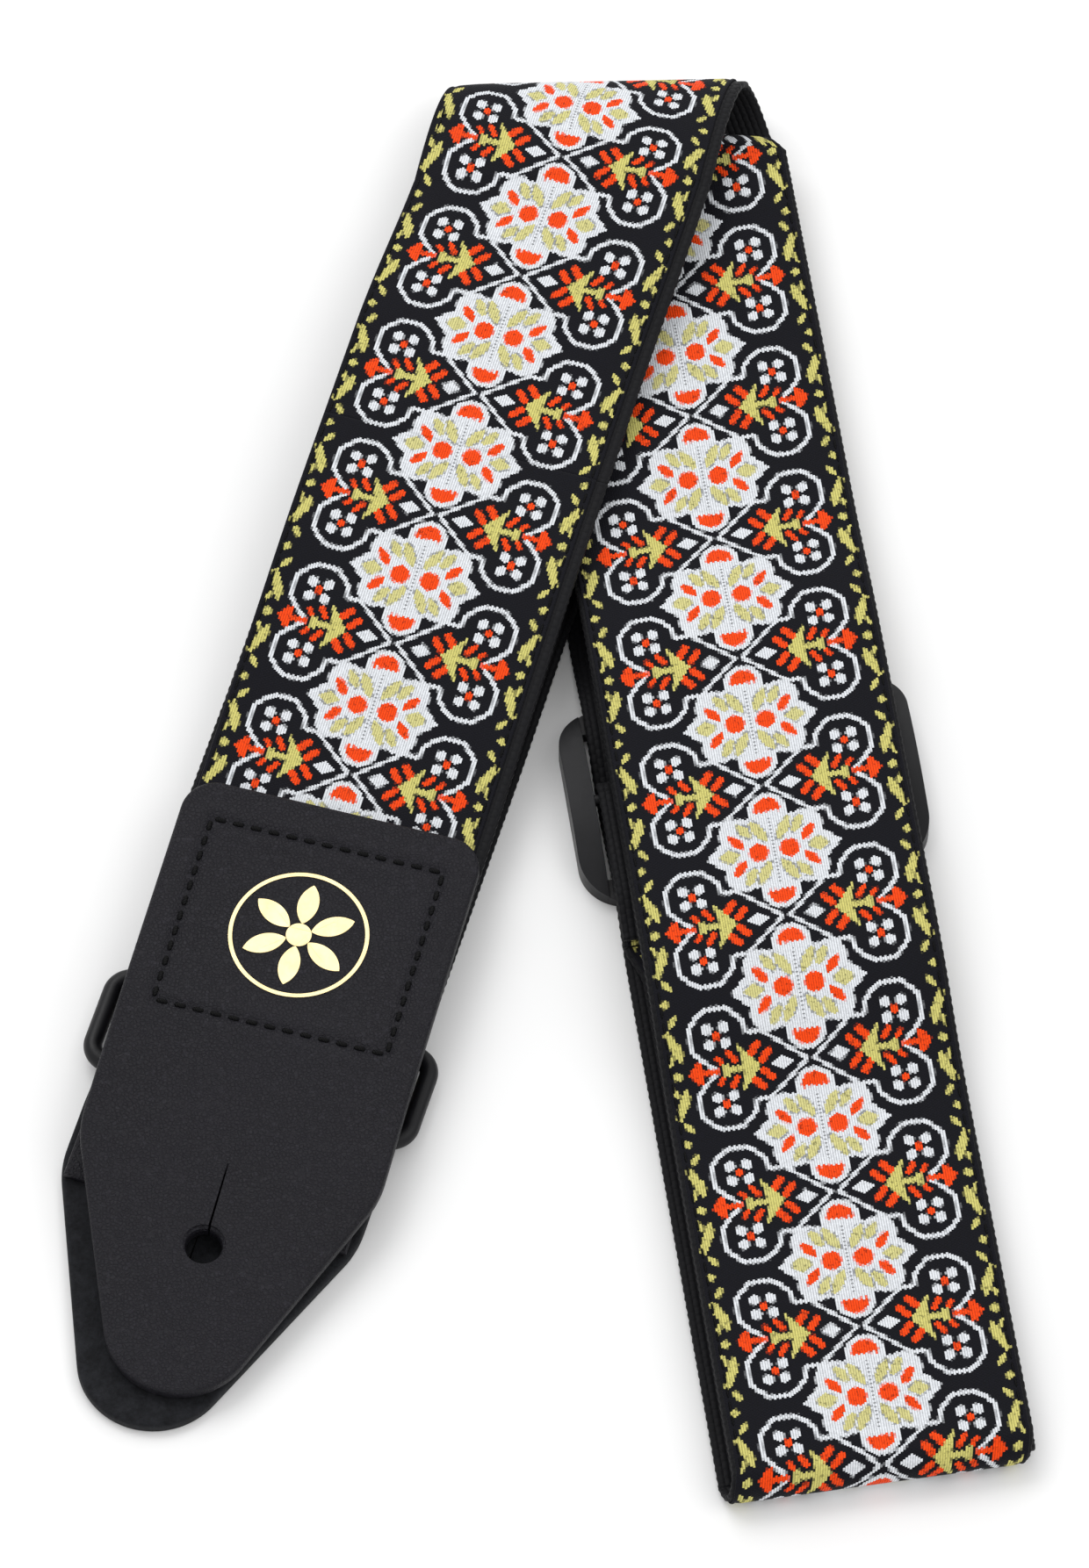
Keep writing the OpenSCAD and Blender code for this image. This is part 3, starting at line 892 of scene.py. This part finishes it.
front_profile = smooth_profile(FRONT_PATH, 6.0)
leather_profile = smooth_profile(LEATHER_PATH, 6.0)
back_profile = smooth_profile(BACK_PATH, 3.0)
tail_back_profile = smooth_profile(TAIL_BACK_PATH, 2.0)
upper_profile = smooth_profile(UPPER_PATH, 5.0)
tail_upper_profile = smooth_profile(TAIL_UPPER_PATH, 5.0)
lower_profile = smooth_profile(LOWER_PATH, 1.6)
tail_lower_profile = smooth_profile(TAIL_LOWER_PATH, 0.0)
hem_low = smooth_profile(HEM_LOW_PATH, 1.2)
hem_top = smooth_profile(HEM_TOP_PATH, 1.2)

_, front_top_s = outer_crease.crossing(left)
front_arch_s = front_top_s + (TOP_REACH - TOP_R) / abs(outer_crease.c @ left.across)
_, lower_top_s = outer_crease.crossing(lower)
_, upper_top_s = inner_crease.crossing(right)
_, back_top_s = inner_crease.crossing(back)
BACK_Z = PITCH + FOLD_R


def strap_pieces(name, stations, strap_length, nodes, attach, offset=0.0):
    """The webbing and the ribbon of one stretch, which stand for the CAD nodes of both kinds."""
    for kind, section, material, width, scallop in (
            ("webbing", webbing_section(offset), WEBBING, WEBBING_W, selvedge),
            ("jacquard", ribbon_section(), JACQUARD, RIBBON_W, None)):
        obj = swept(f"{kind}_{name}_band", stations, section, scallop)
        finish_piece(obj, material, attach, [f"{kind}_{node}" for node in nodes])
        width * MM
        strap_length * MM


def top_share(s):
    """1 at the outer fold and 0 where the front run no longer feels it."""
    return eased((LEAN_TO - s) / (LEAN_TO - front_arch_s))


def front_lean(s):
    return LEAN * top_share(s)


def front_lift(s, t):
    return 2 * arch_rise(t) * top_share(s)


def tail_tuck(s):
    """The tail lies a little to the left on the back run, out of sight."""
    return -TAIL_TUCK * eased((TUCK_FROM - s) / TUCK_OVER)


def lower_tuck(s):
    """The tail drifts to the right from the slider to the bottom fold."""
    return TAIL_TUCK * eased((s - HEM_TO + 1) / DRIFT_OVER)


FOLLOW_TOP = blends("folded_strap", "front_run",
                    outer_crease.point + 4.0 * outer_crease.n + 4.0 * UP,
                    outer_crease.point - 8.0 * outer_crease.n + 16.0 * UP)
FOLLOW_BEND = blends_along("front_run", "front_end", left, *BEND_BLEND)


def front_bands():
    """The outer fold and the front run down to its end inside the leather."""
    stations = fold_stations(outer_crease, left, lower, TOP_R, TOP_R, 61, shift_in=LEAN,
                             cone=True, reach=TOP_REACH)[::-1]
    stations += run_stations(left, front_profile, front_arch_s, FRONT_SPLIT, 1,
                             [(outer_crease, front_arch_s)], sideways=front_lean,
                             lift=front_lift)[1:]
    strap_pieces("front_upper", stations, TOP_TURN + FRONT_SPLIT - front_top_s,
                 ["top_fold", "front_run"], FOLLOW_TOP, WEB_OFFSET)
    strap_pieces("front_lower", run_stations(left, front_profile, FRONT_SPLIT, FRONT_END, 1),
                 FRONT_END - FRONT_SPLIT, ["front_end"], FOLLOW_BEND, WEB_OFFSET)


def lower_bands():
    """The lower run, pattern down, through the slider to the bottom fold."""
    stations = run_stations(lower, lower_profile, lower_top_s, SLIDER_S, -1,
                            [(outer_crease, lower_top_s)])
    strap_pieces("lower_upper", stations, SLIDER_S - lower_top_s, ["lower_run", "slider_wave"],
                 blends_along("folded_strap", "slider", lower, *LOWER_BLEND))
    strap_pieces("lower_end", run_stations(lower, lower_profile, SLIDER_S, RIGHT_END, -1),
                 RIGHT_END - SLIDER_S, ["lower_end"],
                 blends_along("folded_strap", "slider", lower, *LOWER_END_BLEND))


def upper_band():
    """The bottom fold and the run that shows on the right, pattern up."""
    stations = fold_stations(bottom_crease, right, lower, FOLD_R, FOLD_R, 25, v_sign=1)[::-1]
    stations += run_stations(right, upper_profile, RIGHT_END, upper_top_s, 1,
                             [(inner_crease, upper_top_s)], SKEW_RIGHT)[1:]
    strap_pieces("upper_run", stations, FOLD_TURN + RIGHT_END - upper_top_s,
                 ["bottom_fold", "upper_run"], rides("folded_strap"))


def back_band():
    """The inner fold, the back run and the bight round the loop's near bar."""
    stations = fold_stations(inner_crease, right, back, FOLD_R, BACK_Z, 25)
    stations += run_stations(back, back_profile, back_top_s, BIGHT_S, -1,
                             [(inner_crease, back_top_s)])[1:]
    stations += wrap_stations(back, BIGHT_S, BAR_Z, BIGHT_IN, 1, 19)[1:]
    strap_pieces("back_run", stations, FOLD_TURN + BIGHT_TURN + BIGHT_S - back_top_s,
                 ["inner_fold", "back_run", "loop_bight"], rides("folded_strap"))


def tail_bands():
    """The tail lies on the back run, inside both folds, and on the lower run to the slider."""
    stations = run_stations(back, tail_back_profile, BIGHT_S, back_top_s, 1,
                            [(inner_crease, back_top_s)], sideways=tail_tuck)
    stations += fold_stations(inner_crease, right, back, TAIL_R, BACK_Z, 17, inner=True,
                              shift_out=-TAIL_TUCK)[::-1][1:]
    stations += run_stations(right, tail_upper_profile, upper_top_s, RIGHT_END, -1,
                             [(inner_crease, upper_top_s)])[1:]
    stations += fold_stations(bottom_crease, right, lower, TAIL_R, FOLD_R, 17, inner=True,
                              v_sign=1, shift_out=TAIL_TUCK)[1:]
    strap_pieces("tail", stations, BIGHT_S - back_top_s + RIGHT_END - upper_top_s + TAIL_TURNS,
                 ["tail_back", "tail_inner_fold", "tail_upper", "tail_bottom_fold"],
                 rides("folded_strap"))
    stations = run_stations(lower, tail_lower_profile, RIGHT_END, HEM_TO + 0.3, 1,
                            sideways=lower_tuck)
    strap_pieces("tail_lower", stations, RIGHT_END - HEM_TO, ["tail_lower"],
                 blends_along("folded_strap", "slider", lower, *TAIL_BLEND))


def hem_band():
    """The tail's end goes round the slider's centre bar and is sewn down on itself."""
    bar = wrap_stations(lower, SLIDER_S, CENTRE_BAR_Z, HEM_IN, -1, 17)
    stations = run_stations(lower, hem_low, HEM_TO, SLIDER_S, 1)
    stations += turned_over(bar, LAYER_T)[1:-1]
    stations += run_stations(lower, hem_top, SLIDER_S, HEM_TO, -1)
    strap_pieces("tail_hem", stations, 2 * (HEM_TO - SLIDER_S) + HEM_TURN, ["tail_hem"],
                 rides("slider"))


def edge_seams(name, places, attach, nodes=()):
    finish_piece(stitches(name, places, SEAM_L, SEAM_R), THREAD, attach, nodes)


front_bands()
lower_bands()
upper_band()
back_band()
tail_bands()
hem_band()
edge_seams("front_seams_upper",
           seam_places(left, front_profile, front_top_s + SEAM_START, FRONT_SPLIT,
                       front_lean, front_lift),
           FOLLOW_TOP, ["seams_front_run"])
edge_seams("front_seams_lower", seam_places(left, front_profile, FRONT_SPLIT, BEND_S - 1),
           FOLLOW_BEND)
edge_seams("upper_seams", seam_places(right, upper_profile, upper_top_s + SEAM_START, RIGHT_END),
           rides("folded_strap"), ["seams_upper_run"])

# ---- leather ends

LEATHER_L, LEATHER_W, LEATHER_T = 110.8, 52.6, 2.4
TIP_R, TAPER, SHOULDER_R, CORNER_R = 13.0, math.radians(22.7), 18.0, 6.0
HOLE_R, HOLE_BACK, SLIT_L = 3.1, 26.7, 12.0
TIP_C = LEATHER_L - TIP_R
TIP_START = TIP_C + TIP_R * math.sin(TAPER)
NARROWING = LEATHER_W / 2 - TIP_R * math.cos(TAPER) - SHOULDER_R * (1 - math.cos(TAPER))
BEND_END = TIP_START - NARROWING / math.tan(TAPER)
SHOULDER_S = BEND_END - SHOULDER_R * math.sin(TAPER)
HOLE_S = LEATHER_L - HOLE_BACK
CUT_PAST = 3
TOP_EDGE_R, LOW_EDGE_R = 0.7, 0.4
STITCH_PITCH = 2.95
BOX_S, BOX_L, BOX_W = 25.2, 36.0, 41.0
FRONT_S, FRONT_T, FRONT_TWIST = 148.5, 0.3, math.radians(1.3)
BACK_S = 265.1 - LEATHER_L
BACK_FROM = 206.0
NECK_W, SKIVED_T, FOLD_OVER = 50.0, 1.7, 225.0


def half_width(s):
    """Half the leather's width at s from its top edge."""
    s = np.asarray(s, float)
    half = np.full_like(s, LEATHER_W / 2)
    corner = s < CORNER_R
    half[corner] -= CORNER_R - np.sqrt(np.maximum(0, CORNER_R**2 - (CORNER_R - s[corner]) ** 2))
    bend = (s > SHOULDER_S) & (s <= BEND_END)
    half[bend] -= SHOULDER_R - np.sqrt(SHOULDER_R**2 - (s[bend] - SHOULDER_S) ** 2)
    slope = (s > BEND_END) & (s <= TIP_START)
    half[slope] = TIP_R * math.cos(TAPER) + (TIP_START - s[slope]) * math.tan(TAPER)
    tip = s > TIP_START
    half[tip] = np.sqrt(np.maximum(0, TIP_R**2 - (s[tip] - TIP_C) ** 2))
    return half


def outline_distance(s, t, whole):
    """Distance inwards from the leather's outline, good near the edge."""
    nudge = 0.05
    slope = (half_width(s + nudge) - half_width(s - nudge)) / (2 * nudge)
    side = (half_width(s) - np.abs(t)) / np.sqrt(1 + slope**2)
    distance = np.minimum(side, LEATHER_L - s)
    return np.minimum(distance, s) if whole else distance


def edge_round(distance, r):
    """How far a rounded edge of radius r has dropped at a distance from it."""
    drop = r - np.sqrt(np.maximum(0, r * r - (r - distance) ** 2))
    return np.where(distance < r, drop, 0.0)


def leather_grid(first_s, whole):
    """Rows down the leather and columns across it, closer together near the edges."""
    near, cell, inset, count = [0.02, 0.12, 0.3, 0.6, 1.0, 1.5], 0.6, 4.0, 74
    rows = [first_s + e for e in near] if whole else [first_s, first_s + cell]
    rows += list(np.arange(rows[-1] + cell, LEATHER_L - 3 * cell, cell))
    rows += [LEATHER_L - e for e in reversed(near)]
    share = np.array([0, 0.12, 0.3, 0.6, 1.0, 1.6])
    lines = []
    for h in half_width(rows):
        edge = h - share * min(1.0, h / inset)
        inner = np.linspace(-edge[-1], edge[-1], count + 2)[1:-1]
        lines.append(np.concatenate([-edge, inner, edge[::-1]]))
    grid_t = np.array(lines)
    return np.broadcast_to(np.array(rows)[:, None], grid_t.shape), grid_t


def sheet_faces(n, m):
    """Faces of a closed sheet: n rows of m points on top, and as many below."""
    faces = []
    low = n * m
    for i in range(n - 1):
        for a in range(i * m, i * m + m - 1):
            faces.append((a, a + 1, a + m + 1, a + m))
            faces.append((low + a, low + a + m, low + a + m + 1, low + a + 1))
    border = list(range(m)) + [i * m + m - 1 for i in range(1, n)]
    border += [(n - 1) * m + k for k in range(m - 2, -1, -1)] + [i * m for i in range(n - 2, 0, -1)]
    faces += [(a, low + a, low + b, b) for a, b in zip(border, border[1:] + border[:1])]
    return faces


def leather_sheet(name, first_s, at, thickness, dents=None):
    """A solid leather end with rounded edges. at(s, t) gives points and normals of its underside."""
    whole = first_s == 0
    s, t = leather_grid(first_s, whole)
    distance = np.maximum(outline_distance(s, t, whole), 0)
    base, normal = at(s, t)
    top_h = thickness(s) - edge_round(distance, TOP_EDGE_R)
    if dents is not None:
        top_h = top_h - dents(s, t)
    low_h = edge_round(distance, LOW_EDGE_R)
    top = (base + top_h[..., None] * normal).reshape(-1, 3)
    low = (base + low_h[..., None] * normal).reshape(-1, 3)
    obj = new_object(name, np.concatenate([top, low]), sheet_faces(*t.shape))
    face_outwards(obj)
    return obj


def at_point(at, s, t):
    """The point and the normal at one place."""
    base, normal = at(np.array([s]), np.array([t]))
    return base[0], normal[0]


def cut(obj, cutter):
    """Cuts a shape out of a piece for good."""
    modifier = obj.modifiers.new("cut", "BOOLEAN")
    modifier.operation = "DIFFERENCE"
    modifier.solver = "EXACT"
    modifier.object = cutter
    bpy.context.view_layer.update()
    evaluated = obj.evaluated_get(bpy.context.evaluated_depsgraph_get())
    mesh = bpy.data.meshes.new_from_object(evaluated)
    obj.modifiers.clear()
    obj.data = mesh
    bpy.data.objects.remove(cutter)


def hole_cutter(at, z_low, z_high):
    """A punched hole with a flared mouth."""
    profile = [(z_low - CUT_PAST, HOLE_R), (z_high - 0.7, HOLE_R), (z_high - 0.25, HOLE_R + 0.15),
               (z_high + 0.05, HOLE_R + 0.6), (z_high + CUT_PAST, HOLE_R + 0.9)]
    sides = 48
    centre, _ = at_point(at, HOLE_S, 0.0)
    points = []
    for z, r in profile:
        for k in range(sides):
            a = 2 * math.pi * k / sides
            points.append((centre[0] + r * math.cos(a), centre[1] + r * math.sin(a), z))
    return new_object("hole_cutter", points, tube_faces(len(profile), sides), smooth=False)


def slit_cutter(at, z_low, z_high):
    """A thin wedge that opens the hole and tapers to the slit's end."""
    end, start = HOLE_S - HOLE_R - SLIT_L, HOLE_S - HOLE_R + 0.8
    right_side = [(end, 0.05), (end + 2, 0.13), (start, 0.21)]
    outline = right_side + [(s, -w) for s, w in reversed(right_side)]
    points = []
    for z in (z_low - CUT_PAST, z_high + CUT_PAST):
        for s, w in outline:
            point, _ = at_point(at, s, w)
            points.append((point[0], point[1], z))
    slit = new_object("slit_cutter", points, tube_faces(2, len(outline)), smooth=False)
    face_outwards(slit)
    return slit


def row_places(at, height, corners):
    """Stitch places along a line of corners given as (s, t)."""
    places = []
    for a, b in zip(corners, corners[1:]):
        a, b = np.array(a, float), np.array(b, float)
        run = np.linalg.norm(b - a)
        count = int(run / STITCH_PITCH)
        for i in range(count):
            p = a + (b - a) * (i + 0.5) / count
            base, normal = at_point(at, *p)
            ahead, _ = at_point(at, *(p + (b - a) / run * 0.5))
            wander = RNG.uniform(-0.04, 0.04)
            places.append((base + (height + wander * 0.5) * normal, ahead - base, normal))
    return places


def level_at(leg, profile=None, s_from=0.0):
    """Points on a level layer of a leg as a function of s and t, with normals that point up."""

    def at(s, t):
        flat = leg.at(s_from + s, t, 0.0 if profile is None else profile(s)[0])
        return flat, np.broadcast_to(UP, flat.shape)

    return at


leather_leg = Leg((0, 0), 0, left.down * math.cos(FRONT_TWIST) + left.across * math.sin(FRONT_TWIST))
leather_leg.origin = left.at(FRONT_S, FRONT_T)


def front_leather_at(s, t):
    z, slope = leather_profile(FRONT_S + s)
    normal = UP - slope[..., None] * leather_leg.down
    normal /= np.linalg.norm(normal, axis=-1, keepdims=True)
    return leather_leg.at(s, t, z), normal


def front_dents(s, t):
    """The groove of the box of stitches, with the leather raised beside it."""
    ds = np.abs(s - BOX_S) - BOX_L / 2
    dt = np.abs(t) - BOX_W / 2
    outside = np.hypot(np.maximum(ds, 0), np.maximum(dt, 0))
    distance = outside + np.minimum(np.maximum(ds, dt), 0)
    groove = 0.34 * np.exp(-((distance / 0.6) ** 2))
    return groove - 0.2 * np.exp(-(((np.abs(distance) - 2.2) / 1.4) ** 2))


def front_leather():
    leather = leather_sheet("leather_front_end", 0.0, front_leather_at, lambda s: LEATHER_T,
                            front_dents)
    z = float(leather_profile(FRONT_S + HOLE_S)[0])
    cut(leather, hole_cutter(front_leather_at, z, z + LEATHER_T))
    cut(leather, slit_cutter(front_leather_at, z, z + LEATHER_T))
    finish_piece(leather, LEATHER, rides("front_end"), ["front_leather_end"])


def box_stitches():
    half_l, half_w = BOX_L / 2, BOX_W / 2
    corners = [(BOX_S - half_l, -half_w), (BOX_S - half_l, half_w), (BOX_S + half_l, half_w),
               (BOX_S + half_l, -half_w), (BOX_S - half_l, -half_w)]
    thread = stitches("box_stitches", row_places(front_leather_at, LEATHER_T - 0.2, corners),
                      2.3, 0.46)
    finish_piece(thread, THREAD, rides("front_end"), ["front_box_stitching"])


def back_thickness(s):
    """The leather is skived thin where it folds round the loop's bar."""
    return SKIVED_T + (LEATHER_T - SKIVED_T) * np.clip((s + BACK_S - BACK_FROM) / 4.0, 0, 1)


def back_leather():
    """A flat end with its flesh side up."""
    at = level_at(back, s_from=BACK_S)
    leather = leather_sheet("leather_back_end", BACK_FROM - BACK_S, at, back_thickness)
    cut(leather, hole_cutter(at, 0.0, LEATHER_T))
    cut(leather, slit_cutter(at, 0.0, LEATHER_T))
    finish_piece(leather, SUEDE, rides("back_end"), ["back_leather_end"])


def neck_section():
    half = NECK_W / 2
    left_edge = [(-half, 0.4), (-half, 1.2), (-half + 0.2, 1.55), (-half + 0.6, SKIVED_T)]
    section = left_edge + [(t, SKIVED_T) for t in np.linspace(-half + 3, half - 3, 12)]
    section += [(-t, h) for t, h in reversed(left_edge)]
    flat = [half - 0.4, *np.linspace(half - 3, -half + 3, 8), -half + 0.4]
    return section + [(t, 0.0) for t in flat]


def back_neck(neck_top):
    """The back leather's skived neck, folded round the loop's far bar."""
    neck_low = smooth_profile([(195, 0), (230, 0)], 0.0)
    stations = turned_over(run_stations(back, neck_low, BACK_FROM, BAR_S, 1), SKIVED_T)
    stations += wrap_stations(back, BAR_S, BAR_Z, BIGHT_IN, -1, 19)[1:-1]
    stations += run_stations(back, neck_top, BAR_S, FOLD_OVER, 1)
    neck = swept("leather_back_neck", stations, neck_section())
    finish_piece(neck, LEATHER, rides("back_end"))


def double_row(name, at, height, rows, half, stitch_l, radius, body, node):
    """Two rows of stitches across a leg."""
    places = []
    for s in rows:
        places += row_places(at, height, [(s, -half), (s, half)])
    thread = stitches(name, places, stitch_l, radius)
    finish_piece(thread, THREAD, rides(body), [node])


neck_top = smooth_profile([(195, 5.3), (BAR_S, 5.3), (206, 5.1), (214, 2.45), (240, 2.45)], 1.2)
front_leather()
box_stitches()
back_leather()
back_neck(neck_top)
double_row("back_leather_stitches", level_at(back, neck_top), SKIVED_T + 0.02, (216.0, 222.5), 22,
           2.15, 0.34, "back_end", "back_leather_stitching")
double_row("hem_stitches", level_at(lower, hem_top), LAYER_T + 0.02, (98.5, 102.5), 21,
           2.1, 0.2, "slider", "tail_hem_stitching")

# ---- CAD nodes that are shown


def finished(node, material, bevel):
    """A CAD piece whose shape is right: welded, its sharp edges rounded, and painted."""
    source = frame["nodes"][node]
    bm = bmesh.new()
    bm.from_mesh(source.data)
    bmesh.ops.remove_doubles(bm, verts=bm.verts, dist=1e-6)
    bmesh.ops.dissolve_limit(bm, angle_limit=math.radians(0.6), verts=bm.verts, edges=bm.edges)
    mesh = bpy.data.meshes.new(node + "_finished")
    bm.to_mesh(mesh)
    bm.free()
    obj = bpy.data.objects.new(node + "_finished", mesh)
    bpy.context.scene.collection.objects.link(obj)
    mesh.shade_smooth()
    rounding = obj.modifiers.new("rounded_edges", "BEVEL")
    rounding.width = bevel * MM
    rounding.segments = 3
    rounding.limit_method = "ANGLE"
    rounding.angle_limit = math.radians(35)
    shading = obj.modifiers.new("even_shading", "WEIGHTED_NORMAL")
    shading.keep_sharp = True
    finish_piece(obj, material, rides(source["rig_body"]), [node])


finished("slider_frame", PLASTIC, 0.7)
paint(frame["nodes"]["strap_loop"], PLASTIC)
finished("front_foil_ornament", FOIL, 0.03)

# ---- floor, light and camera


def make_floor():
    look = Look("pale_floor")
    tone = look.noise(30.0, 2.0)
    colour = look.mix(tone, (0.86, 0.86, 0.86), (0.90, 0.90, 0.90))
    half, z = 3000.0, -0.05
    points = [(-half, -half, z), (half, -half, z), (half, half, z), (-half, half, z)]
    floor = new_object("floor", points, [(0, 1, 2, 3)], smooth=False)
    paint(floor, look.finish(colour, 0.8 + tone * 0.1))


def make_light(name, place_m, size_m, power):
    """A soft rectangular light that points at the strap."""
    data = bpy.data.lights.new(name, "AREA")
    data.shape = "RECTANGLE"
    data.size, data.size_y = size_m
    data.energy = power
    light = bpy.data.objects.new(name, data)
    light.location = place_m
    light.rotation_euler = (-Vector(place_m)).to_track_quat("-Z", "Y").to_euler()
    bpy.context.scene.collection.objects.link(light)


def make_world(strength):
    world = bpy.data.worlds.new("studio")
    world.use_nodes = True
    background = world.node_tree.nodes["Background"]
    background.inputs["Color"].default_value = (1, 1, 1, 1)
    background.inputs["Strength"].default_value = strength
    bpy.context.scene.world = world
    bpy.context.scene.view_settings.view_transform = "Standard"


def make_camera():
    """Looks down at 61 degrees above the table, from straight in front."""
    tilt, distance = math.radians(29), 1.772
    forward = Vector((0, math.sin(tilt), -math.cos(tilt)))
    aim = Vector((0.0001, 0.00025, 0))
    data = bpy.data.cameras.new("camera")
    data.sensor_width = 36
    data.lens = 236
    data.clip_start, data.clip_end = 0.1, 20
    camera = bpy.data.objects.new("camera", data)
    camera.location = aim - forward * distance
    camera.rotation_mode = "QUATERNION"
    camera.rotation_quaternion = forward.to_track_quat("-Z", "Y")
    bpy.context.scene.collection.objects.link(camera)
    bpy.context.scene.camera = camera


make_floor()
make_light("key", (-0.5, 0.7, 1.3), (1.0, 0.8), 7.5)
make_light("fill", (0.9, -0.3, 1.1), (1.0, 0.9), 3.0)
make_light("rim", (0.1, 1.2, 0.7), (1.2, 0.4), 2.5)
make_world(0.88)
make_camera()
